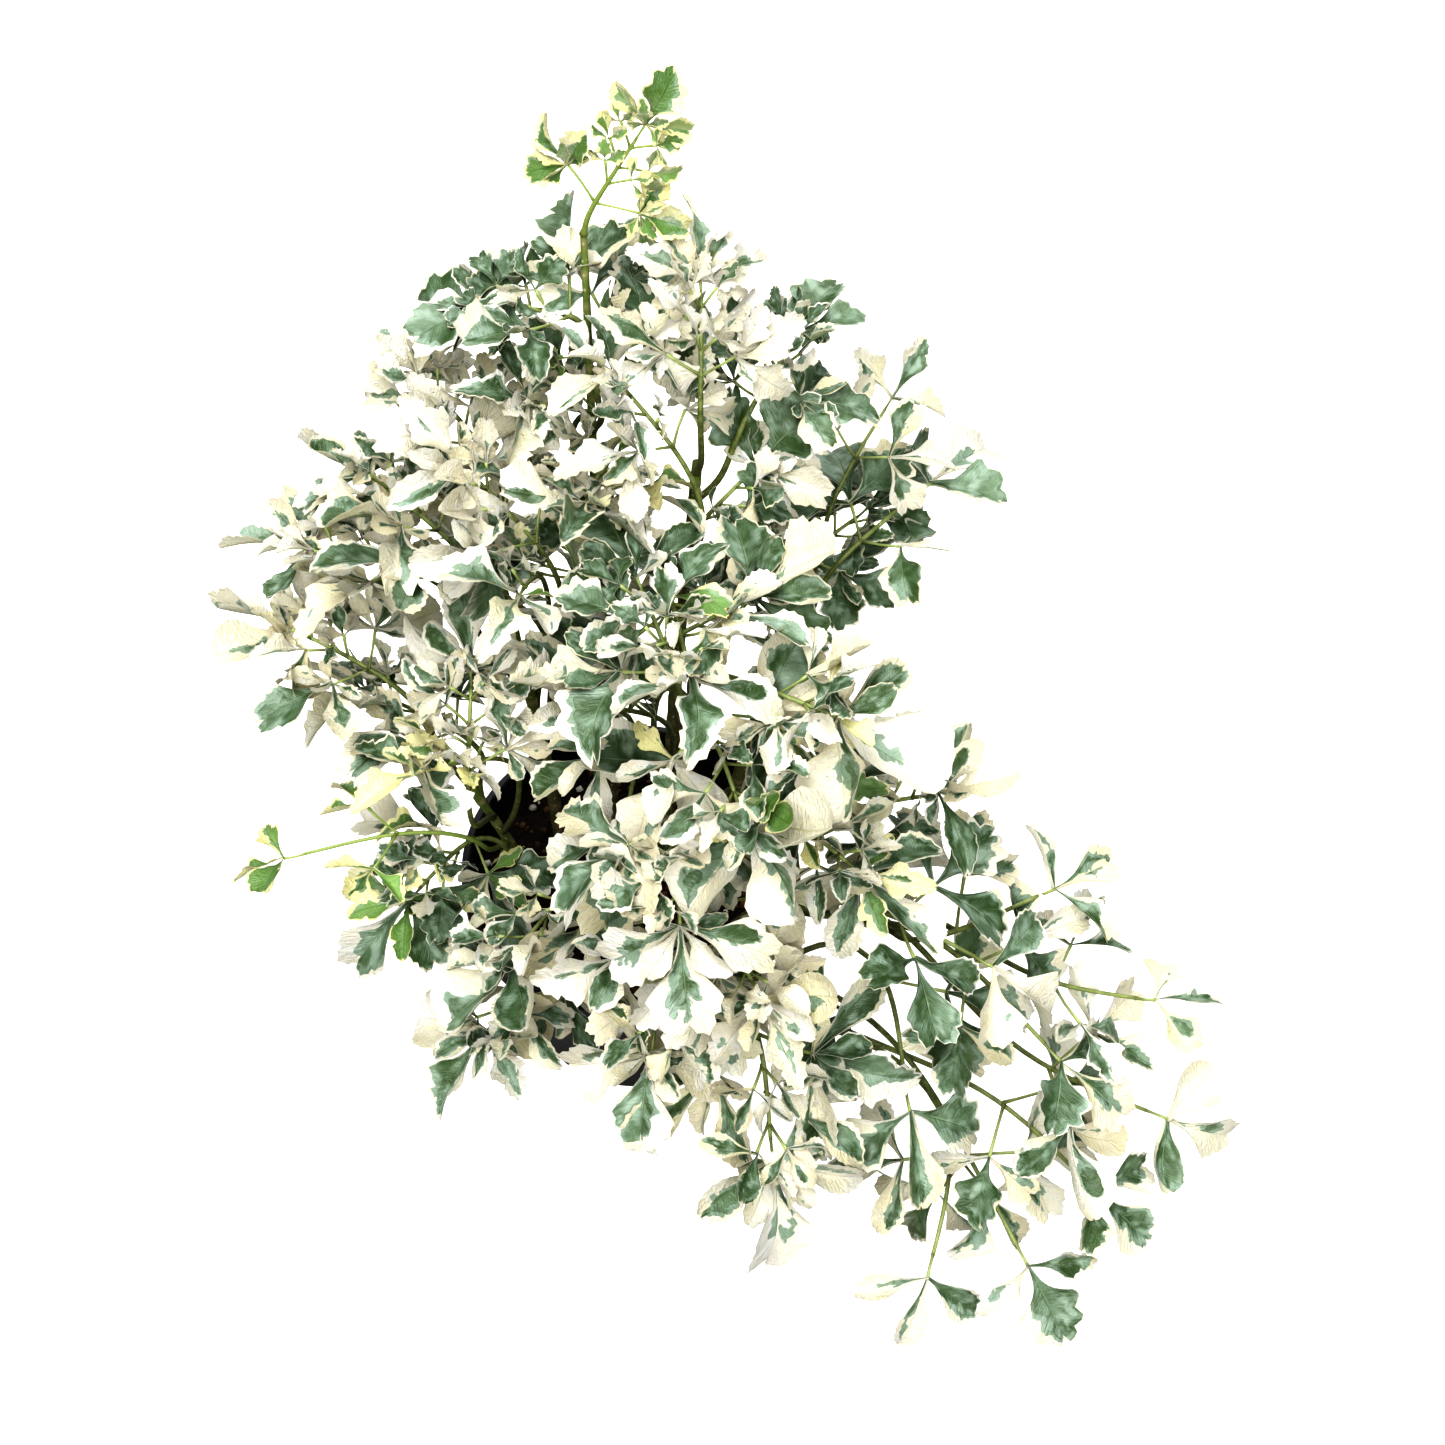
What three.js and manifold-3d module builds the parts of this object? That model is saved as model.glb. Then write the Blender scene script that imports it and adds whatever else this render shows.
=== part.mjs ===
// Potted snowflake aralia: a black nursery pot filled with soil, the canes that stand in it,
// and the compound fronds they carry. Millimetres, +Z up, origin at the centre of the base.
import * as THREE from 'three';
import { mergeVertices } from 'three/addons/utils/BufferGeometryUtils.js';
import Module from 'manifold-3d';

const wasm = await Module();
wasm.setup();

// Pot
const potHeight = 120;
const rimRadius = 77;
const baseRadius = 55;
const potWall = 1.8;
const baseThickness = 2.2;
const bandHeight = 17;
const bandStandout = 1.8;
const potSides = 24;
const drainRadius = 5;
const drainCircle = 40;
const drainCount = 6;
const drainSides = 8;

// Soil
const soilTop = 108;
const soilCrown = 3;
const soilShoulder = 0.6;
const fitGap = 0.3;

// Canes
const caneFoot = 58;
const caneRadius = 3.6;
const caneTipRadius = 2.3;
const slimTips = { back: 1.8 };
const caneSides = 6;
const caneSteps = 4;
const tipSides = 8;

// Fronds
const petioleRadius = 2.0;
const rachisRadius = 1.15;
const petioleSides = 4;
const petioleSteps = 5;
const bladeThickness = 0.8;
const stalkWidth = 1.7;
const rachisPerLeaf = 1.05;
const sideStalkPerLeaf = 0.5;
const tipStalkPerLeaf = 0.2;
const insetPerLeaf = 0.15;
const sideLeafletShare = 0.88;
const sideLean = THREE.MathUtils.degToRad(67);
const notchPerStalk = 1.1;
const bladeDroop = 0.2;
const rootSink = 0.9;
const crossingVolume = 1e-3;
const evenedOut = 0.06;

// How a frond leaves its cane: out by a few millimetres and a share of the level way, up by a
// share of the whole way, and then round into the line of its leafy part, whose rise in
// radians keeps within limits. A frond on the very top of its cane goes straight up
const petioleLeave = 6;
const petioleOut = 0.2;
const petioleUp = 0.22;
const petioleBack = 0.3;
const topShare = 0.995;
const riseDrop = 0.6;
const riseLimits = [-0.6, 0.7];
const steepRise = 1;

// How far fronds and their branches differ from each other, in radians and in size
const variety = {
  heading: [-0.25, 0.25],
  roll: [-0.35, 0.35],
  tipLean: [-0.2, 0.15],
  tipTwist: [-0.3, 0.3],
  pairTurn: [0.95, 1.2],
  pairLean: [-0.3, 0.3],
  pairTwist: [-0.35, 0.35],
  pairSize: [0.86, 0.98],
};
const firstSeed = 4001;
const seedStep = 97;
const drawFactor = 48271;
const drawModulus = 2147483647;

// Each cane leans from its place in the soil, through a bend, to its tip
const canes = {
  back: [[-8, 16, caneFoot], [-10, 58, 240], [-11, 114, 396]],
  middle: [[14, 24, caneFoot], [22, 40, 210], [32, 66, 318]],
  leftBack: [[-30, 14, caneFoot], [-38, 30, 170], [-50, 52, 256]],
  left: [[-38, -8, caneFoot], [-52, 0, 130], [-70, 12, 168]],
  right: [[36, 14, caneFoot], [54, 40, 160], [76, 68, 226]],
  centre: [[2, -6, caneFoot], [8, -10, 170], [26, -26, 250]],
  rightFront: [[34, -16, caneFoot], [64, -34, 138], [108, -56, 162]],
  front: [[8, -38, caneFoot], [16, -60, 120], [36, -88, 150]],
};

// A frond: its cane, how far up the cane it grows, the middle of its leafy part, the length of
// its leaflets, their shape, their colour, and where it departs from the usual its own heading
// and rise in degrees and how many times wider it spreads
const fronds = [
  ['back', 0.995, [13, 118, 441], 20, 'fan', 'young', [14, 58, 1.75]],
  ['back', 0.84, [-50, 112, 358], 36, 'fan', 'green'],
  ['back', 0.76, [0, 124, 362], 36, 'fan', 'green'],
  ['back', 0.68, [-33, 70, 348], 32, 'frilly', 'mixed'],
  ['back', 0.60, [-10, 28, 338], 36, 'frilly', 'mixed'],
  ['back', 0.44, [-24, 112, 214], 40, 'fan', 'green'],
  ['middle', 0.98, [34, 88, 392], 32, 'frilly', 'cream'],
  ['middle', 0.90, [72, 108, 346], 33, 'fan', 'green'],
  ['middle', 0.74, [2, 60, 371], 32, 'frilly', 'cream'],
  ['middle', 0.60, [54, 62, 318], 36, 'fan', 'green'],
  ['middle', 0.42, [64, 108, 196], 40, 'fan', 'green'],
  ['leftBack', 0.98, [-78, 98, 332], 34, 'frilly', 'cream'],
  ['leftBack', 0.88, [-102, 80, 294], 36, 'fan', 'mixed'],
  ['leftBack', 0.80, [-56, 48, 332], 36, 'round', 'cream'],
  ['leftBack', 0.70, [-128, 64, 268], 36, 'spoon', 'cream'],
  ['leftBack', 0.60, [-78, 36, 288], 38, 'spoon', 'mixed'],
  ['leftBack', 0.50, [-36, 8, 308], 38, 'fan', 'mixed'],
  ['left', 0.97, [-140, 44, 238], 36, 'round', 'cream'],
  ['left', 0.89, [-108, 30, 212], 38, 'fan', 'mixed'],
  ['left', 0.82, [-60, 8, 254], 38, 'spoon', 'mixed'],
  ['left', 0.74, [-78, -22, 230], 36, 'frilly', 'cream'],
  ['left', 0.66, [-137, -46, 200], 24, 'frilly', 'young', [192, -5, 1.8]],
  ['left', 0.58, [-92, -40, 158], 36, 'fan', 'green'],
  ['centre', 0.99, [30, -44, 326], 38, 'spoon', 'cream', [-80, 12]],
  ['centre', 0.92, [82, -54, 314], 42, 'round', 'cream', [-30, 8]],
  ['centre', 0.84, [10, 2, 322], 40, 'fan', 'green', [110, 5]],
  ['centre', 0.78, [52, 4, 308], 40, 'fan', 'green', [30, 5]],
  ['centre', 0.70, [50, -86, 292], 42, 'round', 'mixed', [-70, -15]],
  ['centre', 0.62, [-14, -28, 284], 36, 'fan', 'mixed'],
  ['centre', 0.52, [4, -66, 256], 38, 'spoon', 'mixed', [-100, -15]],
  ['right', 0.98, [112, 116, 300], 28, 'frilly', 'cream'],
  ['right', 0.88, [128, 92, 274], 36, 'fan', 'green'],
  ['right', 0.72, [103, 92, 258], 31, 'fan', 'green'],
  ['rightFront', 0.98, [178, -56, 190], 33, 'fan', 'mixed', [30, -10, 1.4]],
  ['rightFront', 0.93, [222, -86, 150], 31, 'fan', 'mixed', [0, -20, 1.4]],
  ['rightFront', 0.88, [178, -120, 166], 35, 'fan', 'mixed', [-40, -25, 1.4]],
  ['rightFront', 0.83, [226, -128, 126], 36, 'round', 'cream', [-15, -20, 1.4]],
  ['rightFront', 0.71, [148, -98, 204], 39, 'fan', 'green', [-20, -20]],
  ['rightFront', 0.64, [126, -46, 248], 36, 'spoon', 'mixed'],
  ['rightFront', 0.56, [94, -84, 252], 38, 'spoon', 'mixed', [-40, -10]],
  ['front', 0.99, [118, -134, 150], 38, 'fan', 'green', [-80, -25, 1.3]],
  ['front', 0.95, [196, -154, 114], 34, 'fan', 'mixed', [-40, -20, 1.4]],
  ['front', 0.91, [168, -180, 98], 33, 'fan', 'mixed', [-60, -20, 1.4]],
  ['front', 0.87, [128, -184, 96], 34, 'spoon', 'mixed', [-105, -20, 1.4]],
  ['front', 0.82, [62, -158, 156], 46, 'spoon', 'mixed', [-82, -35]],
  ['front', 0.78, [56, -122, 224], 38, 'round', 'cream', [-60, -20]],
  ['front', 0.73, [14, -124, 184], 42, 'fan', 'mixed', [-100, -30]],
  ['front', 0.68, [26, -110, 260], 38, 'fan', 'mixed', [-85, -15]],
  ['front', 0.62, [-46, -76, 170], 40, 'round', 'mixed', [-135, -20]],
  ['front', 0.56, [-58, -90, 132], 38, 'round', 'mixed', [-130, -25]],
];

// Right half of a leaflet's outline, as shares of its length, from its foot to its tip
const leafletHalves = {
  fan: [[0.34, 0.66], [0.21, 1.0], [0, 0.87]],
  frilly: [[0.28, 0.62], [0.13, 0.76], [0, 1.0]],
  round: [[0.28, 0.46], [0.34, 0.76], [0, 1.0]],
  spoon: [[0.22, 0.58], [0.18, 0.9], [0, 1.0]],
};

// The ways in which a branch of a frond may be bent clear of its neighbours, mildest first
const branchBends = [
  { lift: 0, roll: 0, size: 1 },
  ...[8, -8, 16, -16].map((lift) => ({ lift, roll: 0, size: 1 })),
  ...[14, -14, 28, -28].map((roll) => ({ lift: 5, roll, size: 0.96 })),
  ...[24, -24].map((lift) => ({ lift, roll: 12, size: 0.9 })),
];
// How a petiole may be bowed sideways and upwards, or started higher or lower on its cane
const petioleShifts = [[0, 0, 0]];
[7, 14, 21, 28, 36].forEach((reach) => {
  [0, 180, 90, 270, 45, 135, 225, 315].map(THREE.MathUtils.degToRad).forEach((turn) => {
    [0, 0.025, -0.025].forEach((slide) => {
      petioleShifts.push([reach * Math.cos(turn), reach * Math.sin(turn), slide]);
    });
  });
});

const finishes = {
  pot: { color: 0x1b1c1d, roughness: 0.55 },
  soil: { color: 0x2f241b, roughness: 0.95 },
  cane: { color: 0x6f7048, roughness: 0.75 },
  cream: { color: 0xf1ecd6, roughness: 0.5 },
  mixed: { color: 0xa9bfa4, roughness: 0.5 },
  green: { color: 0x4f7d5f, roughness: 0.45 },
  young: { color: 0xcfd97c, roughness: 0.5 },
};

const up = new THREE.Vector3(0, 0, 1);
const viewSide = new THREE.Vector3(0, -1, 0);

function point(xyz) {
  return new THREE.Vector3(...xyz);
}

// Seeded draws, so that the plant grows the same way each time
function seededDraw(seed) {
  let state = seed;
  return (low, high) => {
    state = (state * drawFactor) % drawModulus;
    return low + (high - low) * (state / drawModulus);
  };
}

function toSolid(geometry) {
  const plain = geometry.index ? geometry.toNonIndexed() : geometry;
  plain.deleteAttribute('normal');
  plain.deleteAttribute('uv');
  const merged = mergeVertices(plain, 1e-4);
  return new wasm.Manifold(new wasm.Mesh({
    numProp: 3,
    vertProperties: new Float32Array(merged.attributes.position.array),
    triVerts: new Uint32Array(merged.index.array),
  }));
}

function toGeometry(solid) {
  const mesh = solid.getMesh();
  const geometry = new THREE.BufferGeometry();
  geometry.setAttribute('position', new THREE.BufferAttribute(mesh.vertProperties, 3));
  geometry.setIndex(new THREE.BufferAttribute(mesh.triVerts, 1));
  geometry.computeVertexNormals();
  return geometry;
}

// A closed tube along a curve, narrowing evenly from its foot to its tip
function taperedTube(curve, footRadius, tipRadius, sides, steps) {
  const section = new THREE.Shape();
  for (let i = 0; i < sides; i += 1) {
    const turn = (2 * Math.PI * (i + 0.5)) / sides;
    const corner = [footRadius * Math.cos(turn), footRadius * Math.sin(turn)];
    if (i === 0) section.moveTo(...corner);
    else section.lineTo(...corner);
  }
  section.closePath();
  const geometry = new THREE.ExtrudeGeometry(section, {
    steps, extrudePath: curve, bevelEnabled: false, curveSegments: 1,
  });
  const stations = curve.getSpacedPoints(steps);
  const places = geometry.attributes.position;
  const corner = new THREE.Vector3();
  for (let i = 0; i < places.count; i += 1) {
    corner.fromBufferAttribute(places, i);
    const offsets = stations.map((station) => Math.abs(station.distanceTo(corner) - footRadius));
    const nearest = offsets.indexOf(Math.min(...offsets));
    const radius = THREE.MathUtils.lerp(footRadius, tipRadius, nearest / steps);
    corner.sub(stations[nearest]).multiplyScalar(radius / footRadius).add(stations[nearest]);
    places.setXYZ(i, corner.x, corner.y, corner.z);
  }
  return toSolid(geometry);
}

function bentLine(xyzList) {
  return new THREE.CatmullRomCurve3(xyzList.map(point), false, 'centripetal');
}

const bandFoot = potHeight - bandHeight;

// The pot's outer radius at a height below its band
function wallAt(z) {
  return baseRadius + ((rimRadius - bandStandout - baseRadius) / bandFoot) * z;
}

function turnedSolid(profile) {
  const places = profile.map(([radius, z]) => new THREE.Vector2(radius, z));
  return toSolid(new THREE.LatheGeometry(places, potSides).rotateX(Math.PI / 2));
}

function makePot() {
  let body = turnedSolid([
    [0, 0], [baseRadius, 0], [wallAt(bandFoot), bandFoot], [rimRadius, bandFoot],
    [rimRadius, potHeight], [rimRadius - bandStandout - potWall, potHeight],
    [wallAt(bandFoot) - potWall, bandFoot], [wallAt(baseThickness) - potWall, baseThickness],
    [0, baseThickness],
  ]);
  for (let i = 0; i < drainCount; i += 1) {
    const turn = (2 * Math.PI * (i + 0.5)) / drainCount;
    const drill = new THREE.CylinderGeometry(drainRadius, drainRadius, 4 * baseThickness, drainSides);
    drill.rotateX(Math.PI / 2);
    drill.translate(drainCircle * Math.cos(turn), drainCircle * Math.sin(turn), 0);
    body = body.subtract(toSolid(drill));
  }
  return body;
}

function makeSoil(caneHoles) {
  const innerAt = (z) => wallAt(z) - potWall - fitGap;
  const bottom = baseThickness + fitGap;
  let body = turnedSolid([
    [0, bottom], [innerAt(bottom), bottom], [innerAt(bandFoot), bandFoot],
    [innerAt(bandFoot), soilTop - soilCrown], [innerAt(bandFoot) * soilShoulder, soilTop],
    [0, soilTop],
  ]);
  caneHoles.forEach((hole) => { body = body.subtract(hole); });
  return body;
}

// Three leaflets and their stalk, cut to the rib from one thin arched blade
function branchGeometry(shape, leaf, stalk, thickness, margin) {
  const half = stalkWidth / 2 + margin;
  const outline = new THREE.Shape();
  outline.moveTo(half, -rootSink);
  outline.lineTo(half, stalk - half);
  const right = leafletHalves[shape];
  const rim = [...right, ...right.slice(0, -1).reverse().map(([x, y]) => [-x, y])];
  [-sideLean, 0, sideLean].forEach((turn, k) => {
    const length = turn === 0 ? leaf : leaf * sideLeafletShare;
    rim.forEach(([x, y]) => {
      const across = x * length + Math.sign(x) * margin;
      const along = y * length + margin;
      outline.lineTo(
        across * Math.cos(turn) - along * Math.sin(turn),
        stalk + across * Math.sin(turn) + along * Math.cos(turn),
      );
    });
    if (k < 2) {
      const notch = (k === 0 ? -sideLean : sideLean) / 2;
      const reach = 2 * half * notchPerStalk;
      outline.lineTo(-Math.sin(notch) * reach, stalk + Math.cos(notch) * reach);
    }
  });
  outline.lineTo(-half, stalk - half);
  outline.lineTo(-half, -rootSink);
  outline.closePath();
  const geometry = new THREE.ExtrudeGeometry(outline, {
    depth: thickness, steps: 1, bevelEnabled: false, curveSegments: 1,
  });
  geometry.translate(0, 0, -thickness / 2);
  const places = geometry.attributes.position;
  for (let i = 0; i < places.count; i += 1) {
    const x = places.getX(i);
    const y = places.getY(i) - stalk;
    const drop = (bladeDroop * (x * x + Math.max(y, 0) ** 2)) / leaf;
    places.setZ(i, places.getZ(i) - drop);
  }
  return geometry;
}

// A frame with its length along `along` and its face towards `facing`
function frameAt(origin, along, facing) {
  const z = facing.clone().addScaledVector(along, -facing.dot(along)).normalize();
  const x = new THREE.Vector3().crossVectors(along, z);
  return new THREE.Matrix4().makeBasis(x, along, z).setPosition(origin);
}

// The line of a frond, and where its branches grow, before anything is bent clear
function planFrond([cane, share, middle, leaf, , , aim], index) {
  const draw = seededDraw(firstSeed + seedStep * index);
  draw(0, 1);
  const line = caneLines[cane];
  const root = line.getPointAt(share);
  const centre = point(middle);
  const chord = centre.clone().sub(root);
  const level = Math.hypot(chord.x, chord.y);
  const usual = [
    Math.atan2(chord.y, chord.x) + draw(...variety.heading),
    THREE.MathUtils.clamp(Math.atan2(chord.z, level) - riseDrop, ...riseLimits),
  ];
  const [heading, rise] = aim ? aim.slice(0, 2).map(THREE.MathUtils.degToRad) : usual;
  const along = new THREE.Vector3(
    Math.cos(heading) * Math.cos(rise), Math.sin(heading) * Math.cos(rise), Math.sin(rise),
  );
  const spread = leaf * (aim?.[2] ?? 1);
  const end = centre.clone().addScaledVector(along, -spread * insetPerLeaf);
  const start = end.clone().addScaledVector(along, -spread * rachisPerLeaf);
  const roll = draw(...variety.roll);
  const facing = (rise > steepRise ? viewSide : up).clone();
  facing.addScaledVector(along, -facing.dot(along)).normalize().applyAxisAngle(along, roll);
  const branches = [
    { turn: 0, lean: draw(...variety.tipLean), twist: draw(...variety.tipTwist),
      stalk: spread * tipStalkPerLeaf, at: end, size: 1 },
    ...[1, -1].map((hand) => ({
      turn: hand * draw(...variety.pairTurn), lean: draw(...variety.pairLean),
      twist: draw(...variety.pairTwist), stalk: spread * sideStalkPerLeaf,
      at: start.clone().addScaledVector(along, spread * insetPerLeaf),
      size: draw(...variety.pairSize),
    })),
  ];
  return { line, share, start, end, along, facing, branches, leaf };
}

function petioleCurve({ line, share, start, end, along }, [sideways, upwards, slide]) {
  const root = line.getPointAt(Math.min(share + slide, topShare));
  const chord = start.clone().sub(root);
  const span = chord.length();
  const level = Math.hypot(chord.x, chord.y);
  const arrival = chord.clone().divideScalar(span).add(along).normalize();
  const bend = start.clone().addScaledVector(arrival, -span * petioleBack);
  const outward = chord.clone().setZ(0).normalize();
  const leave = share < topShare ? petioleLeave : 0;
  const first = root.clone().addScaledVector(outward, leave + level * petioleOut);
  first.z += span * petioleUp;
  const aside = new THREE.Vector3().crossVectors(up, outward);
  [first, bend].forEach((place) => {
    place.addScaledVector(aside, sideways);
    place.z += upwards;
  });
  return new THREE.CatmullRomCurve3([root, first, bend, start, end], false, 'centripetal');
}

function branchFrame({ along, facing }, branch, bend) {
  const { degToRad } = THREE.MathUtils;
  const direction = along.clone().applyAxisAngle(facing, branch.turn);
  const across = new THREE.Vector3().crossVectors(direction, facing);
  direction.applyAxisAngle(across, branch.lean + degToRad(bend.lift));
  const face = facing.clone().applyAxisAngle(across, branch.lean + degToRad(bend.lift));
  face.applyAxisAngle(direction, branch.twist + degToRad(bend.roll));
  return frameAt(branch.at, direction, face);
}

function boxesMeet(a, b) {
  return [0, 1, 2].every((axis) => a.min[axis] < b.max[axis] && b.min[axis] < a.max[axis]);
}

function crossesAny(probe, placed) {
  const box = probe.boundingBox();
  return placed.some(({ solid, bounds }) => (
    boxesMeet(box, bounds) && probe.intersect(solid).volume() > crossingVolume
  ));
}

function keep(solid) {
  return { solid, bounds: solid.boundingBox() };
}

function largestBody(solid) {
  const bodies = solid.decompose();
  return bodies.reduce((best, body) => (body.volume() > best.volume() ? body : best));
}

const caneLines = Object.fromEntries(
  Object.entries(canes).map(([name, places]) => [name, bentLine(places)]),
);

function tipRadius(name) {
  return slimTips[name] ?? caneTipRadius;
}

function makeCane(name, extra) {
  return taperedTube(
    caneLines[name], caneRadius + extra, tipRadius(name) + extra, caneSides, caneSteps,
  );
}

// The room that a cane takes up with its gap, which also reaches past its tip
function makeCaneRoom(name) {
  const radius = tipRadius(name) + fitGap;
  const tip = caneLines[name].getPointAt(1);
  const end = new THREE.SphereGeometry(radius, tipSides, tipSides / 2);
  return makeCane(name, fitGap).add(toSolid(end.translate(...tip.toArray())));
}

// Petioles are placed first, clear of each other and of the canes, and then the branches
function growFronds(caneSolids, wideCanes, fixtures) {
  const plans = fronds.map(planFrond);
  const placedStalks = [];
  const stalks = plans.map((plan, index) => {
    const own = fronds[index][0];
    const others = [...fixtures, ...placedStalks];
    const otherCanes = Object.keys(canes).filter((name) => name !== own)
      .map((name) => keep(caneSolids[name]));
    const clear = petioleShifts.find((shift) => {
      const probe = taperedTube(
        petioleCurve(plan, shift), petioleRadius + fitGap, rachisRadius + fitGap,
        petioleSides, petioleSteps,
      ).subtract(wideCanes[own]);
      return !crossesAny(probe, [...others, ...otherCanes]);
    });
    if (!clear) throw new Error(`frond ${index + 1} finds no clear way`);
    const stalk = largestBody(taperedTube(
      petioleCurve(plan, clear), petioleRadius, rachisRadius, petioleSides, petioleSteps,
    ).subtract(wideCanes[own]));
    placedStalks.push(keep(stalk));
    return stalk;
  });
  const caneList = Object.values(caneSolids).map(keep);
  const placed = plans.map(() => []);
  const grown = stalks.slice();
  plans[0].branches.forEach((_, turn) => {
    plans.forEach((plan, index) => {
      const shape = fronds[index][4];
      const branch = plan.branches[turn];
      const others = [
        ...fixtures, ...caneList, ...placedStalks.filter((_, k) => k !== index),
        ...placed.filter((_, k) => k !== index).flat(),
      ];
      const build = (bend, extra) => toSolid(branchGeometry(
        shape, plan.leaf * branch.size * bend.size, branch.stalk,
        bladeThickness + 2 * extra, extra,
      ).applyMatrix4(branchFrame(plan, branch, bend)));
      const clear = branchBends.find((bend) => !crossesAny(build(bend, fitGap), others));
      if (!clear) return;
      const solid = build(clear, 0);
      grown[index] = grown[index].add(solid);
      placed[index].push(keep(solid));
    });
  });
  return grown.map((solid) => largestBody(solid.asOriginal().simplify(evenedOut)));
}

function namedMesh(name, solid, finish) {
  const material = new THREE.MeshStandardMaterial({ ...finishes[finish], metalness: 0 });
  const mesh = new THREE.Mesh(toGeometry(solid), material);
  mesh.name = name;
  return mesh;
}

const plant = new THREE.Group();
const caneNames = Object.keys(canes);
const caneSolids = Object.fromEntries(caneNames.map((name) => [name, makeCane(name, 0)]));
const wideCanes = Object.fromEntries(caneNames.map((name) => [name, makeCaneRoom(name)]));
const pot = makePot();
const soil = makeSoil(Object.values(wideCanes));
plant.add(namedMesh('pot', pot, 'pot'));
plant.add(namedMesh('soil', soil, 'soil'));
caneNames.forEach((name) => plant.add(namedMesh(`cane_${name}`, caneSolids[name], 'cane')));
growFronds(caneSolids, wideCanes, [keep(pot), keep(soil)]).forEach((solid, index) => {
  const number = String(index + 1).padStart(2, '0');
  plant.add(namedMesh(`frond_${number}`, solid, fronds[index][5]));
});

export default plant;
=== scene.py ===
import math
import random
from bisect import bisect_right

import bmesh
import bpy
from mathutils import Matrix, Vector, noise
from mathutils.bvhtree import BVHTree


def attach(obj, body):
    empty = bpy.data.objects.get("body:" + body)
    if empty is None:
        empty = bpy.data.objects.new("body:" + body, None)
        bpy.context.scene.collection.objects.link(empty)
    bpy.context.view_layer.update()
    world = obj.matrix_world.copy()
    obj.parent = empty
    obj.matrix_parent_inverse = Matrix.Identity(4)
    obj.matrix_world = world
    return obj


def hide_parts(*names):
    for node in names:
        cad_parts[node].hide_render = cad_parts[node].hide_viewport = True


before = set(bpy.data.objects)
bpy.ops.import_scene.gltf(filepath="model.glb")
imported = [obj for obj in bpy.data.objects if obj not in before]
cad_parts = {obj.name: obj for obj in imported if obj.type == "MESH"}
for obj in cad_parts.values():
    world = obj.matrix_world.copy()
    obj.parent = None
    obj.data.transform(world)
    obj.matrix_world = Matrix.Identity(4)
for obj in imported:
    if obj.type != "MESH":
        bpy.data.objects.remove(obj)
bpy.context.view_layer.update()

# Potted snowflake aralia: the fronds, canes, pot and soil are modelled in millimetres
# and brought down to metres when each piece is finished
mm = 0.001
print("frame loaded,", len(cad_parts), "nodes")


# Curves

def curvePoint(points, t):
    last = len(points) - 1
    i = min(int(t * last), last - 1)
    w = t * last - i
    p1 = points[i]
    p2 = points[i + 1]
    p0 = points[i - 1] if i > 0 else p1 * 2 - p2
    p3 = points[i + 2] if i + 2 <= last else p2 * 2 - p1
    d0 = math.sqrt((p1 - p0).length)
    d1 = math.sqrt((p2 - p1).length)
    d2 = math.sqrt((p3 - p2).length)
    leave = ((p1 - p0) / d0 - (p2 - p0) / (d0 + d1) + (p2 - p1) / d1) * d1
    arrive = ((p2 - p1) / d1 - (p3 - p1) / (d1 + d2) + (p3 - p2) / d2) * d1
    bend = (p2 - p1) * 3 - leave * 2 - arrive
    ease = (p1 - p2) * 2 + leave + arrive
    return p1 + leave * w + bend * w ** 2 + ease * w ** 3


def evenWalk(points, cuts=200):
    # a function that walks the curve evenly, from 0 at its foot to 1 at its tip
    places = [curvePoint(points, k / cuts) for k in range(cuts + 1)]
    reach = [0.0]
    for before, after in zip(places, places[1:]):
        reach.append(reach[-1] + (after - before).length)

    def walk(share):
        wanted = min(max(share, 0), 1) * reach[-1]
        k = min(bisect_right(reach, wanted) - 1, cuts - 1)
        part = (wanted - reach[k]) / (reach[k + 1] - reach[k])
        return curvePoint(points, (k + part) / cuts)

    walk.length = reach[-1]
    return walk


def relaxed(walk, cuts=24, passes=14):
    # the same way with its sharp turns eased
    places = [walk(k / cuts) for k in range(cuts + 1)]
    for k in range(passes):
        eased = [(before + here * 2 + after) / 4
                 for before, here, after in zip(places, places[1:], places[2:])]
        places = [places[0], *eased, places[-1]]
    return evenWalk(places)


def turned(vector, axis, angle):
    return Matrix.Rotation(angle, 3, axis) @ vector


def frameAt(origin, along, facing):
    z = (facing - along * facing.dot(along)).normalized()
    basis = Matrix((along.cross(z), along, z)).transposed().to_4x4()
    basis.translation = origin
    return basis


# Node helpers

def paint(code):
    # a colour as it is seen on a screen, brought to linear light
    parts = [int(code[k:k + 2], 16) / 255 for k in (1, 3, 5)]
    linear = [c / 12.92 if c <= 0.04045 else ((c + 0.055) / 1.055) ** 2.4 for c in parts]
    return (*linear, 1)


def addNode(tree, kind, **settings):
    node = tree.nodes.new(kind)
    for name, value in settings.items():
        setattr(node, name, value)
    return node


def feed(tree, source, target):
    # a socket is linked, and a number or a colour's code is set as it stands
    if isinstance(source, bpy.types.NodeSocket):
        tree.links.new(source, target)
    else:
        target.default_value = paint(source) if isinstance(source, str) else source


def calc(tree, operation, *values):
    node = addNode(tree, "ShaderNodeMath", operation=operation)
    for value, socket in zip(values, node.inputs):
        feed(tree, value, socket)
    return node.outputs[0]


def times(tree, value, factor):
    return calc(tree, "MULTIPLY", value, factor)


def timesPlus(tree, value, factor, added):
    return calc(tree, "MULTIPLY_ADD", value, factor, added)


def mixColours(tree, share, first, second):
    node = addNode(tree, "ShaderNodeMix", data_type="RGBA")
    feed(tree, share, node.inputs[0])
    feed(tree, first, node.inputs[6])
    feed(tree, second, node.inputs[7])
    return node.outputs[2]


def coated(tree, colour, *coats):
    # further colours over the first, each as far as its mask says
    for mask, coat in coats:
        colour = mixColours(tree, mask, colour, coat)
    return colour


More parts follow.
